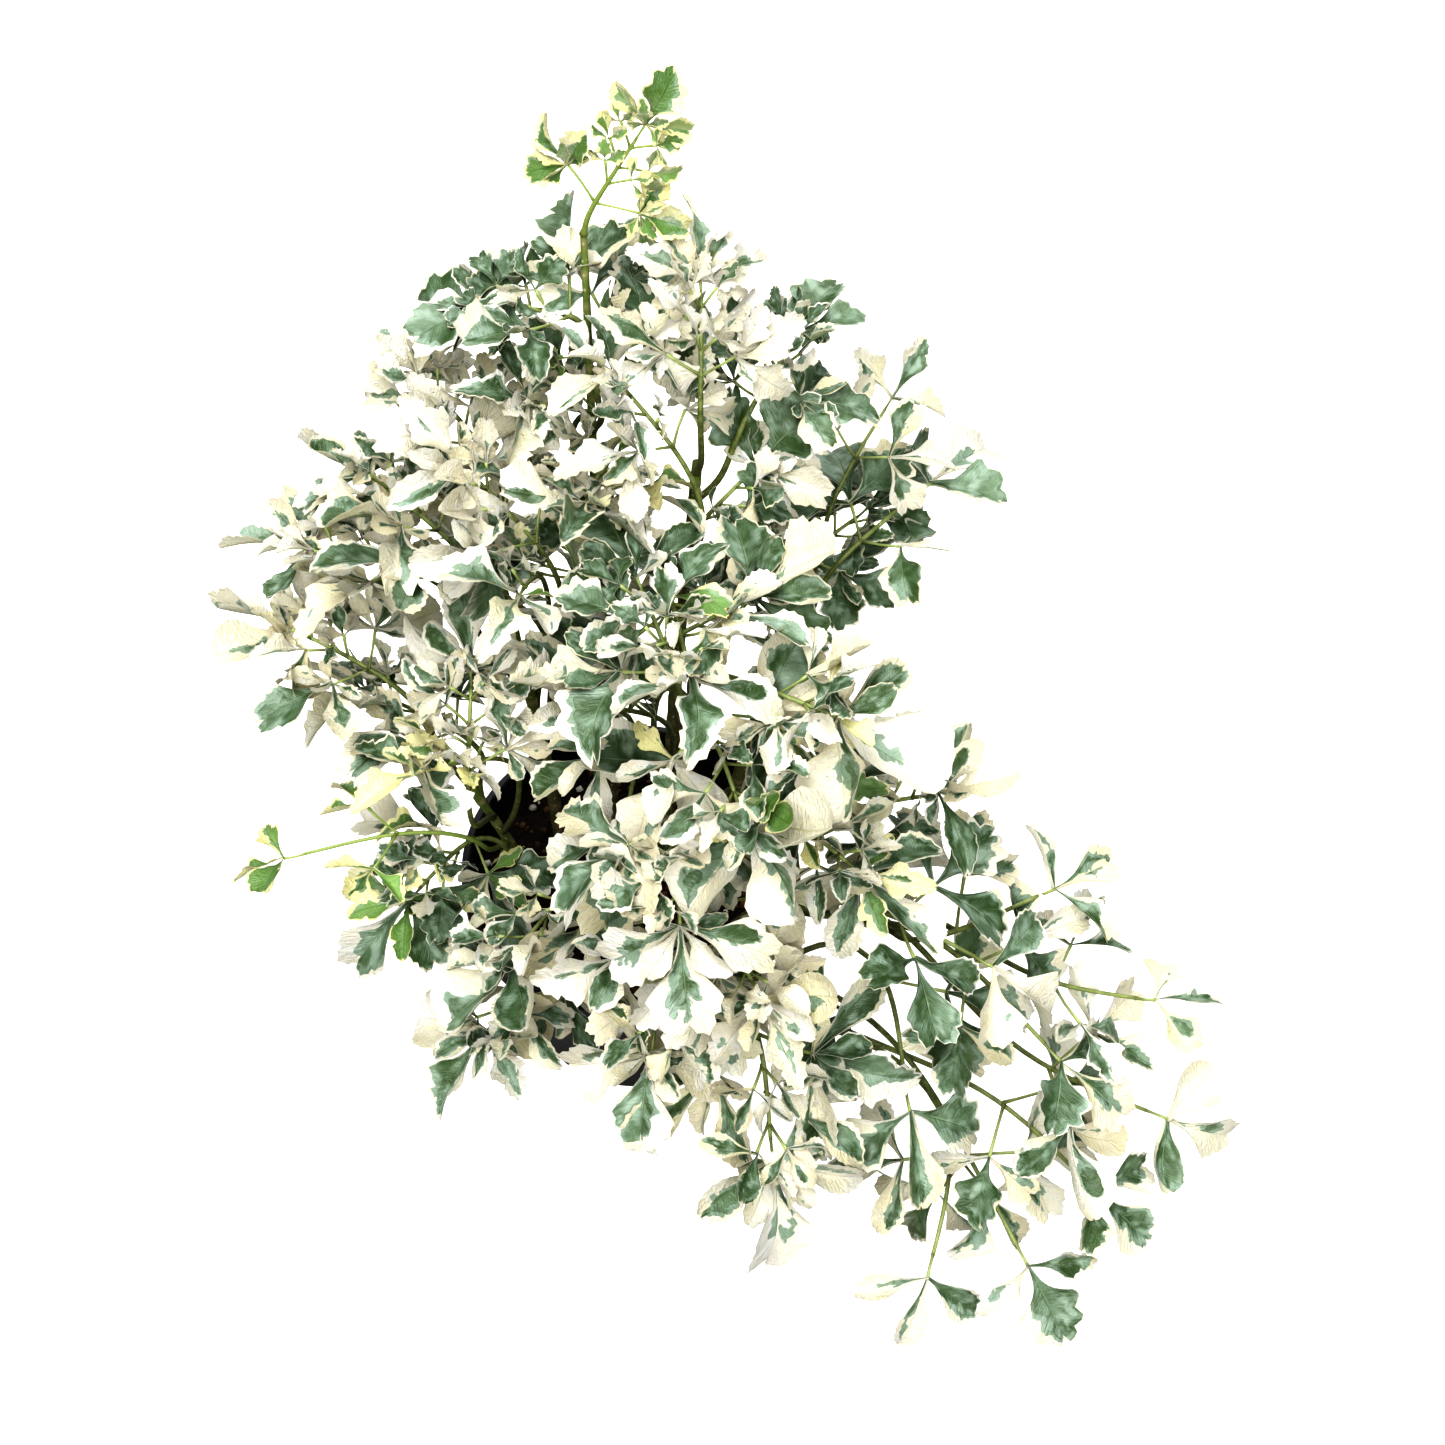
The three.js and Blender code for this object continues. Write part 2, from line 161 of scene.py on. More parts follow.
def noiseAt(tree, vector, scale, detail=2.0, roughness=0.5):
    node = addNode(tree, "ShaderNodeTexNoise")
    feed(tree, vector, node.inputs["Vector"])
    node.inputs["Scale"].default_value = scale
    node.inputs["Detail"].default_value = detail
    node.inputs["Roughness"].default_value = roughness
    return node.outputs["Fac"]


def joinXyz(tree, *parts):
    node = addNode(tree, "ShaderNodeCombineXYZ")
    for part, socket in zip(parts, node.inputs):
        feed(tree, part, socket)
    return node.outputs[0]


def splitXyz(tree, vector):
    node = addNode(tree, "ShaderNodeSeparateXYZ")
    feed(tree, vector, node.inputs[0])
    return node.outputs


def stretched(tree, vector, scale):
    node = addNode(tree, "ShaderNodeMapping")
    node.inputs["Scale"].default_value = scale
    feed(tree, vector, node.inputs[0])
    return node.outputs[0]


def ramp(tree, value, low, high, toLow=0.0, toHigh=1.0):
    node = addNode(tree, "ShaderNodeMapRange", interpolation_type="SMOOTHSTEP")
    for target, source in zip(node.inputs[:5], (value, low, high, toLow, toHigh)):
        feed(tree, source, target)
    return node.outputs[0]


def attribute(tree, name):
    return addNode(tree, "ShaderNodeAttribute", attribute_name=name).outputs["Fac"]


def objectPlace(tree):
    return addNode(tree, "ShaderNodeTexCoord").outputs["Object"]


def newMaterial(name, roughness):
    material = bpy.data.materials.new(name)
    material.use_nodes = True
    tree = material.node_tree
    shader = tree.nodes["Principled BSDF"]
    shader.inputs["Roughness"].default_value = roughness
    return material, tree, shader


def dress(tree, shader, colour, gloss, height, strength, distance):
    feed(tree, colour, shader.inputs["Base Color"])
    feed(tree, gloss, shader.inputs["Roughness"])
    bump = addNode(tree, "ShaderNodeBump")
    bump.inputs["Strength"].default_value = strength
    bump.inputs["Distance"].default_value = distance
    feed(tree, height, bump.inputs["Height"])
    tree.links.new(bump.outputs["Normal"], shader.inputs["Normal"])


def newGroup(name, inputs, outputs):
    tree = bpy.data.node_groups.new(name, "ShaderNodeTree")
    for direction, sockets in (("INPUT", inputs), ("OUTPUT", outputs)):
        for label, kind in sockets.items():
            tree.interface.new_socket(name=label, in_out=direction, socket_type=kind)
    start = addNode(tree, "NodeGroupInput").outputs
    finish = addNode(tree, "NodeGroupOutput").inputs
    return tree, start, finish


# Variegation: a green middle that wanders off to one side, with silvery patches beside it and
# a cream margin. Across and Along are the leaflet's own measures from 0 to 1

floatSocket = "NodeSocketFloat"
colourSocket = "NodeSocketColor"

leafColours = {
    "deepGreen": "#435837",
    "midGreen": "#6b7f68",
    "silver": "#9cad9f",
    "cream": "#d3d1c0",
    "white": "#dfdfd8",
    "straw": "#d8ccab",
    "ivory": "#dacfa8",
    "vein": "#93a684",
    "paleVein": "#cfd0a2",
    "youngDark": "#54733a",
    "youngGreen": "#8fae6c",
    "youngYellow": "#e6e1a8",
}

# how large each pattern is, how far it moves the edge of the green, and where one colour turns
# into the next. Of a pair in "...Reach" and "...Band", the first is a factor and the second is
# added to it
variegationForm = {
    "halvesApart": 1.9,
    "lean": 0.42,
    "broadScale": 2.6,
    "tornScale": (6.5, 2.6),
    "patchScale": 2.8,
    "creamReach": (-1.8, 1.25),
    "broadReach": (1.5, -0.75),
    "tornReach": (0.7, -0.35),
    "tipReach": 0.5,
    "tipStart": 0.6,
    "rimTorn": 0.2,
    "rimBroad": 0.34,
    "rimCream": 0.4,
    "rimEdge": (1.21, 1.27),
    "tipTorn": 0.08,
    "tipEdge": (0.975, 1.02),
    "greenEdge": (-0.02, 0.03),
    "silverBand": (0.9, -0.24),
    "silverEdge": (-0.02, 0.04),
    "laterals": 7,
    "lateralSlant": -0.6,
    "lateralWidth": 0.09,
    "lateralShare": 0.3,
    "ribWidth": (-0.035, 0.065),
}


def variegationGroup():
    tree, start, finish = newGroup(
        "variegation",
        dict.fromkeys(("Across", "Along", "Seed", "Cream", "Youth"), floatSocket),
        {"Color": colourSocket, "Green": floatSocket, "Vein": floatSocket},
    )
    form = variegationForm
    colour = leafColours
    along = start["Along"]
    cream = start["Cream"]
    side = timesPlus(tree, start["Across"], 2, -1)
    margin = calc(tree, "ABSOLUTE", side)
    seed = times(tree, start["Seed"], 60)
    half = times(tree, calc(tree, "SIGN", side), form["halvesApart"])
    lean = times(tree, calc(tree, "SINE", times(tree, seed, 7.7)), form["lean"])
    fromRib = calc(tree, "ABSOLUTE", calc(tree, "ADD", side, lean))

    broadPlace = joinXyz(tree, times(tree, along, form["broadScale"]), half, seed)
    broad = noiseAt(tree, broadPlace, 1.0, 1.0)
    tornAlong, tornAcross = form["tornScale"]
    tornPlace = joinXyz(
        tree, timesPlus(tree, along, tornAlong, half), times(tree, side, tornAcross), seed,
    )
    torn = noiseAt(tree, tornPlace, 1.0, 2.0, 0.6)
    patchPlace = joinXyz(tree, times(tree, along, form["patchScale"]), side, seed)
    patch = noiseAt(tree, patchPlace, 1.3, 2.0)

    reach = timesPlus(tree, cream, *form["creamReach"])
    reach = calc(tree, "ADD", reach, timesPlus(tree, broad, *form["broadReach"]))
    reach = calc(tree, "ADD", reach, timesPlus(tree, torn, *form["tornReach"]))
    tip = times(tree, ramp(tree, along, form["tipStart"], 1.0), cream)
    reach = calc(tree, "SUBTRACT", reach, times(tree, tip, form["tipReach"]))
    rim = timesPlus(tree, broad, form["rimBroad"], margin)
    rim = timesPlus(tree, torn, form["rimTorn"], rim)
    rim = timesPlus(tree, cream, form["rimCream"], rim)
    nearTip = timesPlus(tree, torn, form["tipTorn"], along)
    inside = times(
        tree, ramp(tree, rim, *form["rimEdge"], 1.0, 0.0),
        ramp(tree, nearTip, *form["tipEdge"], 1.0, 0.0),
    )
    left = calc(tree, "SUBTRACT", reach, fromRib)
    green = times(tree, ramp(tree, left, *form["greenEdge"]), inside)
    band = timesPlus(tree, patch, *form["silverBand"])
    silver = ramp(tree, calc(tree, "ADD", left, band), *form["silverEdge"])
    silver = times(tree, silver, inside)

    lines = timesPlus(tree, margin, form["lateralSlant"], times(tree, along, form["laterals"]))
    lines = calc(tree, "ABSOLUTE", calc(tree, "SUBTRACT", calc(tree, "FRACT", lines), 0.5))
    laterals = ramp(tree, lines, 0.0, form["lateralWidth"], 1.0, 0.0)
    rib = ramp(tree, margin, 0.0, timesPlus(tree, along, *form["ribWidth"]), 1.0, 0.0)
    vein = calc(tree, "MAXIMUM", times(tree, laterals, form["lateralShare"]), rib)

    draws = calc(tree, "FRACT", times(tree, seed, 3.7))
    leafGreen = coated(
        tree, colour["deepGreen"],
        (ramp(tree, patch, 0.35, 0.7), colour["midGreen"]),
        (ramp(tree, noiseAt(tree, patchPlace, 1.9, 1.5), 0.45, 0.72, 0.0, 0.7), colour["silver"]),
        (times(tree, vein, 0.4), colour["vein"]),
        (calc(tree, "POWER", start["Youth"], 1.7),
         mixColours(tree, draws, colour["youngDark"], colour["youngGreen"])),
    )
    pale = coated(
        tree, colour["cream"],
        (ramp(tree, broad, 0.35, 0.65), colour["white"]),
        (ramp(tree, patch, 0.35, 0.75, 0.3, 0.0), colour["straw"]),
        (ramp(tree, draws, 0.6, 1.0, 0.0, 0.5), colour["ivory"]),
        (times(tree, vein, 0.3), colour["paleVein"]),
        (start["Youth"], colour["youngYellow"]),
    )
    between = mixColours(tree, 0.5, colour["silver"], leafGreen)
    feed(tree, coated(tree, pale, (silver, between), (green, leafGreen)), finish["Color"])
    feed(tree, green, finish["Green"])
    feed(tree, vein, finish["Vein"])
    return tree


leafSides = {
    "leafFace": {"fade": 0.0, "tone": "#ffffff", "roughness": 0.36},
    "leafUnderside": {"fade": 0.28, "tone": "#dedac6", "roughness": 0.62},
}
leafGlow = {"Subsurface Weight": 0.22, "Subsurface Radius": (0.9, 1.0, 0.5),
            "Subsurface Scale": 0.0012}


def leafMaterial(name, group):
    look = leafSides[name]
    material, tree, shader = newMaterial(name, look["roughness"])
    for label, value in leafGlow.items():
        shader.inputs[label].default_value = value
    uv = addNode(tree, "ShaderNodeUVMap", uv_map="leaf").outputs[0]
    measures = splitXyz(tree, uv)
    pattern = addNode(tree, "ShaderNodeGroup", node_tree=group)
    feed(tree, measures[0], pattern.inputs["Across"])
    feed(tree, measures[1], pattern.inputs["Along"])
    for label in ("Seed", "Cream", "Youth"):
        feed(tree, attribute(tree, label.lower()), pattern.inputs[label])
    green = pattern.outputs["Green"]
    colour = mixColours(tree, look["fade"], pattern.outputs["Color"], look["tone"])
    gloss = timesPlus(tree, green, -0.08, look["roughness"] + 0.06)
    grain = noiseAt(tree, stretched(tree, uv, (5, 16, 1)), 1.5, 3.0, 0.6)
    veins = times(tree, pattern.outputs["Vein"], -0.6)
    height = timesPlus(tree, grain, timesPlus(tree, green, -0.6, 1.8), veins)
    dress(tree, shader, colour, gloss, height, 0.7, 0.001)
    return material


def stalkMaterial():
    # olive green, brown-green at the foot and pale where the leaflets start
    material, tree, shader = newMaterial("greenStalk", 0.5)
    place = objectPlace(tree)
    streaks = noiseAt(tree, place, 260, 3.0)
    flecks = noiseAt(tree, place, 1400, 2.0)
    pale = attribute(tree, "cream")
    colour = coated(
        tree, "#565f33",
        (ramp(tree, streaks, 0.3, 0.7), "#7b8450"),
        (ramp(tree, pale, 0.0, 0.35, 0.6, 0.0), "#5a5334"),
        (ramp(tree, pale, 0.4, 1.0, 0.0, 0.75), "#b4c184"),
        (attribute(tree, "youth"), "#94a65c"),
        (ramp(tree, flecks, 0.62, 0.72, 0.0, 0.3), "#d9dcae"),
    )
    gloss = ramp(tree, streaks, 0.2, 0.8, 0.42, 0.6)
    dress(tree, shader, colour, gloss, calc(tree, "ADD", streaks, flecks), 0.3, 0.0003)
    return material


def caneMaterial():
    # grey-brown bark with pale pores, turning green towards the tip
    material, tree, shader = newMaterial("caneBark", 0.75)
    place = objectPlace(tree)
    grain = noiseAt(tree, stretched(tree, place, (1, 1, 0.35)), 420, 4.0, 0.6)
    blotches = noiseAt(tree, place, 90, 2.0)
    pores = addNode(tree, "ShaderNodeTexVoronoi")
    pores.inputs["Scale"].default_value = 330
    feed(tree, place, pores.inputs["Vector"])
    porous = ramp(tree, pores.outputs["Distance"], 0.18, 0.26, 1.0, 0.0)
    green = mixColours(tree, grain, "#55662f", "#7c8b4b")
    colour = coated(
        tree, "#5c4f3c",
        (grain, "#8d8168"),
        (ramp(tree, blotches, 0.4, 0.65), "#6f6a4a"),
        (ramp(tree, attribute(tree, "height"), 0.25, 0.85), green),
        (times(tree, porous, 0.55), "#c5bd9f"),
        (times(tree, attribute(tree, "scar"), 0.6), "#a79a78"),
    )
    gloss = ramp(tree, grain, 0.2, 0.8, 0.62, 0.85)
    dress(tree, shader, colour, gloss, calc(tree, "ADD", grain, porous), 0.55, 0.0006)
    return material


def potMaterial():
    # black moulded plastic: fine texture, faint scuffs, and dried soil, most of it at the foot
    material, tree, shader = newMaterial("blackPlastic", 0.5)
    place = objectPlace(tree)
    texture = noiseAt(tree, place, 1500, 2.0)
    broad = noiseAt(tree, place, 22, 4.0, 0.65)
    scuffs = noiseAt(tree, stretched(tree, place, (1, 1, 9)), 60, 5.0, 0.7)
    scuffs = ramp(tree, scuffs, 0.6, 0.72)
    foot = ramp(tree, splitXyz(tree, place)[2], 0.0, 0.03, 1.0, 0.0)
    dust = times(tree, ramp(tree, broad, 0.45, 0.7), timesPlus(tree, foot, 0.5, 0.18))
    colour = coated(
        tree, "#2c2d2f",
        (texture, "#3b3c3e"),
        (times(tree, scuffs, 0.25), "#5c5d5d"),
        (dust, "#6b5b48"),
    )
    gloss = timesPlus(tree, scuffs, 0.16, ramp(tree, broad, 0.3, 0.7, 0.4, 0.56))
    dress(tree, shader, colour, gloss, texture, 0.25, 0.0003)
    return material


def soilMaterial():
    # damp potting mix: dark peat with lighter fibres
    material, tree, shader = newMaterial("pottingSoil", 0.95)
    place = objectPlace(tree)
    clods = noiseAt(tree, place, 130, 6.0, 0.7)
    grains = noiseAt(tree, place, 900, 3.0, 0.6)
    colour = coated(
        tree, "#140e0a",
        (ramp(tree, clods, 0.3, 0.7), "#342820"),
        (ramp(tree, grains, 0.6, 0.75, 0.0, 0.6), "#6e5741"),
    )
    gloss = ramp(tree, clods, 0.3, 0.7, 0.98, 0.82)
    dress(tree, shader, colour, gloss, calc(tree, "ADD", clods, grains), 0.8, 0.0015)
    return material


def crumbMaterial(name, dark, light, scale):
    # grains in the mix, each with its own tone
    material, tree, shader = newMaterial(name, 0.9)
    grains = noiseAt(tree, objectPlace(tree), scale, 4.0, 0.65)
    tone = timesPlus(tree, grains, 0.7, times(tree, attribute(tree, "seed"), 0.5))
    colour = mixColours(tree, ramp(tree, tone, 0.2, 0.9), dark, light)
    gloss = ramp(tree, grains, 0.2, 0.8, 0.85, 0.98)
    dress(tree, shader, colour, gloss, grains, 0.6, 0.0006)
    return material


variegation = variegationGroup()
materials = {name: leafMaterial(name, variegation) for name in leafSides}
materials["stalk"] = stalkMaterial()
materials["cane"] = caneMaterial()
materials["pot"] = potMaterial()
materials["soil"] = soilMaterial()
materials["crumb"] = crumbMaterial("barkCrumb", "#241a12", "#7a5f45", 500)
materials["perlite"] = crumbMaterial("perliteGrain", "#b9b4a8", "#f1eee6", 800)
print("materials made,", len(materials))


# Finished pieces

leafParts = [materials["leafFace"], materials["leafUnderside"], materials["stalk"]]
undersideSlot = 1
stalkSlot = 2


def newMesh(layerNames=()):
    bm = bmesh.new()
    bm.loops.layers.uv.new("leaf")
    layers = {name: bm.verts.layers.float.new(name) for name in layerNames}
    return bm, layers


def newObject(bm, name, slots=()):
    mesh = bpy.data.meshes.new(name)
    bm.to_mesh(mesh)
    bm.free()
    for material in slots:
        mesh.materials.append(material)
    made = bpy.data.objects.new(name, mesh)
    bpy.context.scene.collection.objects.link(made)
    return made


def finishPiece(bm, name, slots, nodes=()):
    bmesh.ops.scale(bm, vec=(mm, mm, mm), verts=bm.verts)
    for face in bm.faces:
        face.smooth = True
    piece = newObject(bm, name, slots)
    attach(piece, "root")
    if nodes:
        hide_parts(*nodes)
    return piece


def setMarks(verts, layers, **marks):
    for vert in verts:
        for name, value in marks.items():
            vert[layers[name]] = value


def addTube(bm, layers, walk, radii, sides, material, marksAt):
    # a closed tube along a walk, with a radius for each of its even stations
    faceCount = len(bm.faces)
    last = len(radii) - 1
    near = 0.01
    ring = bmesh.ops.create_circle(bm, cap_ends=True, segments=sides, radius=1)["verts"]
    edges = list({edge for vert in ring for edge in vert.link_edges})
    before = Matrix.Identity(4)
    across = None
    for k, radius in enumerate(radii):
        share = k / last
        if k:
            grown = bmesh.ops.extrude_edge_only(bm, edges=edges)["geom"]
            ring = [part for part in grown if isinstance(part, bmesh.types.BMVert)]
            fresh = set(ring)
            edges = [part for part in grown
                     if isinstance(part, bmesh.types.BMEdge) and set(part.verts) <= fresh]
        ahead = (walk(share + near) - walk(share - near)).normalized()
        across = across or ahead.orthogonal()
        across = (across - ahead * across.dot(ahead)).normalized()
        place = (Matrix((across, ahead.cross(across), ahead)).transposed() * radius).to_4x4()
        place.translation = walk(share)
        bmesh.ops.transform(bm, matrix=place @ before.inverted(), verts=ring)
        before = place
        setMarks(ring, layers, **marksAt(share))
    bmesh.ops.contextual_create(bm, geom=edges)
    bm.faces.ensure_lookup_table()
    tube = bm.faces[faceCount:]
    bmesh.ops.recalc_face_normals(bm, faces=tube)
    for face in tube:
        face.material_index = material


# Canes and fronds, where the frame's own solids have them

caneFoot = 58
canes = {
    "back": [[-8, 16, caneFoot], [-10, 58, 240], [-11, 114, 396]],
    "middle": [[14, 24, caneFoot], [22, 40, 210], [32, 66, 318]],
    "leftBack": [[-30, 14, caneFoot], [-38, 30, 170], [-50, 52, 256]],
    "left": [[-38, -8, caneFoot], [-52, 0, 130], [-70, 12, 168]],
    "right": [[36, 14, caneFoot], [54, 40, 160], [76, 68, 226]],
    "centre": [[2, -6, caneFoot], [8, -10, 170], [26, -26, 250]],
    "rightFront": [[34, -16, caneFoot], [64, -34, 138], [108, -56, 162]],
    "front": [[8, -38, caneFoot], [16, -60, 120], [36, -88, 150]],
}
caneWalks = {name: evenWalk([Vector(place) for place in places]) for name, places in canes.items()}

# a frond: its cane, how far up the cane it grows, the middle of its leafy part, the length of
# its leaflets, their shape, their colour, and, where it departs from the usual, its own heading
# and rise in degrees and how many times wider it spreads
fronds = [
    ("back", 0.995, (13, 118, 441), 20, "fan", "young", (14, 58, 1.75)),
    ("back", 0.84, (-50, 112, 358), 36, "fan", "green"),
    ("back", 0.76, (0, 124, 362), 36, "fan", "green"),
    ("back", 0.68, (-33, 70, 348), 32, "frilly", "mixed"),
    ("back", 0.60, (-10, 28, 338), 36, "frilly", "mixed"),
    ("back", 0.44, (-24, 112, 214), 40, "fan", "green"),
    ("middle", 0.98, (34, 88, 392), 32, "frilly", "cream"),
    ("middle", 0.90, (72, 108, 346), 33, "fan", "green"),
    ("middle", 0.74, (2, 60, 371), 32, "frilly", "cream"),
    ("middle", 0.60, (54, 62, 318), 36, "fan", "green"),
    ("middle", 0.42, (64, 108, 196), 40, "fan", "green"),
    ("leftBack", 0.98, (-78, 98, 332), 34, "frilly", "cream"),
    ("leftBack", 0.88, (-102, 80, 294), 36, "fan", "mixed"),
    ("leftBack", 0.80, (-56, 48, 332), 36, "round", "cream"),
    ("leftBack", 0.70, (-128, 64, 268), 36, "spoon", "cream"),
    ("leftBack", 0.60, (-78, 36, 288), 38, "spoon", "mixed"),
    ("leftBack", 0.50, (-36, 8, 308), 38, "fan", "mixed"),
    ("left", 0.97, (-140, 44, 238), 36, "round", "cream"),
    ("left", 0.89, (-108, 30, 212), 38, "fan", "mixed"),
    ("left", 0.82, (-60, 8, 254), 38, "spoon", "mixed"),
    ("left", 0.74, (-78, -22, 230), 36, "frilly", "cream"),
    ("left", 0.66, (-137, -46, 200), 24, "frilly", "young", (192, -5, 1.8)),
    ("left", 0.58, (-92, -40, 158), 36, "fan", "green"),
    ("centre", 0.99, (30, -44, 326), 38, "spoon", "cream", (-80, 12)),
    ("centre", 0.92, (82, -54, 314), 42, "round", "cream", (-30, 8)),
    ("centre", 0.84, (10, 2, 322), 40, "fan", "green", (110, 5)),
    ("centre", 0.78, (52, 4, 308), 40, "fan", "green", (30, 5)),
    ("centre", 0.70, (50, -86, 292), 42, "round", "mixed", (-70, -15)),
    ("centre", 0.62, (-14, -28, 284), 36, "fan", "mixed"),
    ("centre", 0.52, (4, -66, 256), 38, "spoon", "mixed", (-100, -15)),
    ("right", 0.98, (112, 116, 300), 28, "frilly", "cream"),
    ("right", 0.88, (128, 92, 274), 36, "fan", "green"),
    ("right", 0.72, (103, 92, 258), 31, "fan", "green"),
    ("rightFront", 0.98, (178, -56, 190), 33, "fan", "mixed", (30, -10, 1.4)),
    ("rightFront", 0.93, (222, -86, 150), 31, "fan", "mixed", (0, -20, 1.4)),
    ("rightFront", 0.88, (178, -120, 166), 35, "fan", "mixed", (-40, -25, 1.4)),
    ("rightFront", 0.83, (226, -128, 126), 36, "round", "cream", (-15, -20, 1.4)),
    ("rightFront", 0.71, (148, -98, 204), 39, "fan", "green", (-20, -20)),
    ("rightFront", 0.64, (126, -46, 248), 36, "spoon", "mixed"),
    ("rightFront", 0.56, (94, -84, 252), 38, "spoon", "mixed", (-40, -10)),
    ("front", 0.99, (118, -134, 150), 38, "fan", "green", (-80, -25, 1.3)),
    ("front", 0.95, (196, -154, 114), 34, "fan", "mixed", (-40, -20, 1.4)),
    ("front", 0.91, (168, -180, 98), 33, "fan", "mixed", (-60, -20, 1.4)),
    ("front", 0.87, (128, -184, 96), 34, "spoon", "mixed", (-105, -20, 1.4)),
    ("front", 0.82, (62, -158, 156), 46, "spoon", "mixed", (-82, -35)),
    ("front", 0.78, (56, -122, 224), 38, "round", "cream", (-60, -20)),
    ("front", 0.73, (14, -124, 184), 42, "fan", "mixed", (-100, -30)),
    ("front", 0.68, (26, -110, 260), 38, "fan", "mixed", (-85, -15)),
    ("front", 0.62, (-46, -76, 170), 40, "round", "mixed", (-135, -20)),
    ("front", 0.56, (-58, -90, 132), 38, "round", "mixed", (-130, -25)),
]

frondForm = {
    "rachisPerLeaf": 1.05,
    "sideStalkPerLeaf": 0.5,
    "tipStalkPerLeaf": 0.2,
    "insetPerLeaf": 0.15,
    "sideLean": math.radians(67),
    "droop": 0.2,
    "riseDrop": 0.6,
    "lowestRise": -0.6,
    "highestRise": 0.7,
    "steepRise": 1,
    "petioleLeave": 6,
    "topShare": 0.995,
    "petioleOut": 0.2,
    "petioleUp": 0.22,
    "petioleBack": 0.3,
    "petioleRadius": 1.55,
    "petioleSwelling": 1.5,
    "petioleStations": 24,
    "petioleSides": 7,
    "petiolePale": 0.75,
    "rachisRadius": 0.85,
    "stalkRadius": 0.62,
    "bladeThickness": 0.38,
    "fullSpread": 33,
    "youngThick": 0.8,
    "youngStalk": 0.7,
}
# how fronds differ from each other, by the same draws as in the solids
frondVariety = {
    "seed": 4001,
    "seedStep": 97,
    "heading": (-0.25, 0.25),
    "roll": (-0.35, 0.35),
    "tipLean": (-0.2, 0.15),
    "tipTwist": (-0.3, 0.3),
    "sideTurn": (0.95, 1.2),
    "sideLean": (-0.3, 0.3),
    "sideTwist": (-0.35, 0.35),
    "sideSize": (0.86, 0.98),
}


def seededDraw(seed):
    # a seed's first draw lies near the seed itself and is thrown away
    largest = 2147483647
    state = seed

    def draw(low, high):
        nonlocal state
        state = state * 48271 % largest
        return low + (high - low) * state / largest

    draw(0, 1)
    return draw


def planFrond(index):
    form = frondForm
    vary = frondVariety
    cane, share, middle, leaf, shape, tint = fronds[index][:6]
    aim = fronds[index][6] if len(fronds[index]) > 6 else ()
    draw = seededDraw(vary["seed"] + vary["seedStep"] * index)
    centre = Vector(middle)
    chord = centre - caneWalks[cane](share)
    heading = math.atan2(chord.y, chord.x) + draw(*vary["heading"])
    rise = math.atan2(chord.z, math.hypot(chord.x, chord.y)) - form["riseDrop"]
    rise = min(max(rise, form["lowestRise"]), form["highestRise"])
    if aim:
        heading, rise = [math.radians(angle) for angle in aim[:2]]
    along = Vector((
        math.cos(heading) * math.cos(rise), math.sin(heading) * math.cos(rise), math.sin(rise),
    ))
    spread = leaf * (aim[2] if len(aim) > 2 else 1)
    end = centre - along * spread * form["insetPerLeaf"]
    start = end - along * spread * form["rachisPerLeaf"]
    roll = draw(*vary["roll"])
    facing = Vector((0, -1, 0)) if rise > form["steepRise"] else Vector((0, 0, 1))
    facing = turned((facing - along * facing.dot(along)).normalized(), along, roll)
    branches = [{
        "turn": 0, "lean": draw(*vary["tipLean"]), "twist": draw(*vary["tipTwist"]),
        "stalk": spread * form["tipStalkPerLeaf"], "at": end, "size": 1,
    }]
    for hand in (1, -1):
        branches.append({
            "turn": hand * draw(*vary["sideTurn"]),
            "lean": draw(*vary["sideLean"]),
            "twist": draw(*vary["sideTwist"]),
            "stalk": spread * form["sideStalkPerLeaf"],
            "at": start + along * spread * form["insetPerLeaf"],
            "size": draw(*vary["sideSize"]),
        })
    young = tint == "young"
    return {
        "cane": cane, "share": share, "start": start, "end": end, "along": along,
        "facing": facing, "branches": branches, "leaf": leaf, "spread": spread,
        "shape": shape, "tint": tint, "young": young, "youngShare": stillYoung.get(index, 0),
        "airy": index in airyFronds, "stalkYouth": form["youngStalk"] if young else 0,
        "thick": (form["youngThick"] if young else 1) * min(1, spread / form["fullSpread"]),
    }


def petiolePoints(plan, sideways=0, upwards=0, slide=0):
    form = frondForm
    start = plan["start"]
    root = caneWalks[plan["cane"]](min(plan["share"] + slide, form["topShare"]))
    chord = start - root
    span = chord.length
    level = math.hypot(chord.x, chord.y)
    arrival = (chord / span + plan["along"]).normalized()
    bend = start - arrival * span * form["petioleBack"]
    outward = Vector((chord.x, chord.y, 0)).normalized()
    leave = form["petioleLeave"] if plan["share"] < form["topShare"] else 0
    first = root + outward * (leave + level * form["petioleOut"])
    first.z += span * form["petioleUp"]
    bow = Vector((0, 0, 1)).cross(outward) * sideways + Vector((0, 0, upwards))
    return [root, first + bow, bend + bow, start, plan["end"]]


def branchFrame(plan, branch, lift=0, roll=0):
    facing = plan["facing"]
    direction = turned(plan["along"], facing, branch["turn"])
    across = direction.cross(facing)
    lean = branch["lean"] + math.radians(lift)
    direction = turned(direction, across, lean)
    face = turned(facing, across, lean)
    face = turned(face, direction, branch["twist"] + math.radians(roll))
    return frameAt(branch["at"], direction, face)


# The solids' petioles and branches were bent clear of their neighbours. Each way in which they
# may have been bent is held against the frond's own solid, and the one that lies in it is kept

petioleBows = [(0, 0, 0)]
for reach in (7, 14, 21, 28, 36):
    for turn in (0, 180, 90, 270, 45, 135, 225, 315):
        for slide in (0, 0.025, -0.025):
            angle = math.radians(turn)
            petioleBows.append((reach * math.cos(angle), reach * math.sin(angle), slide))

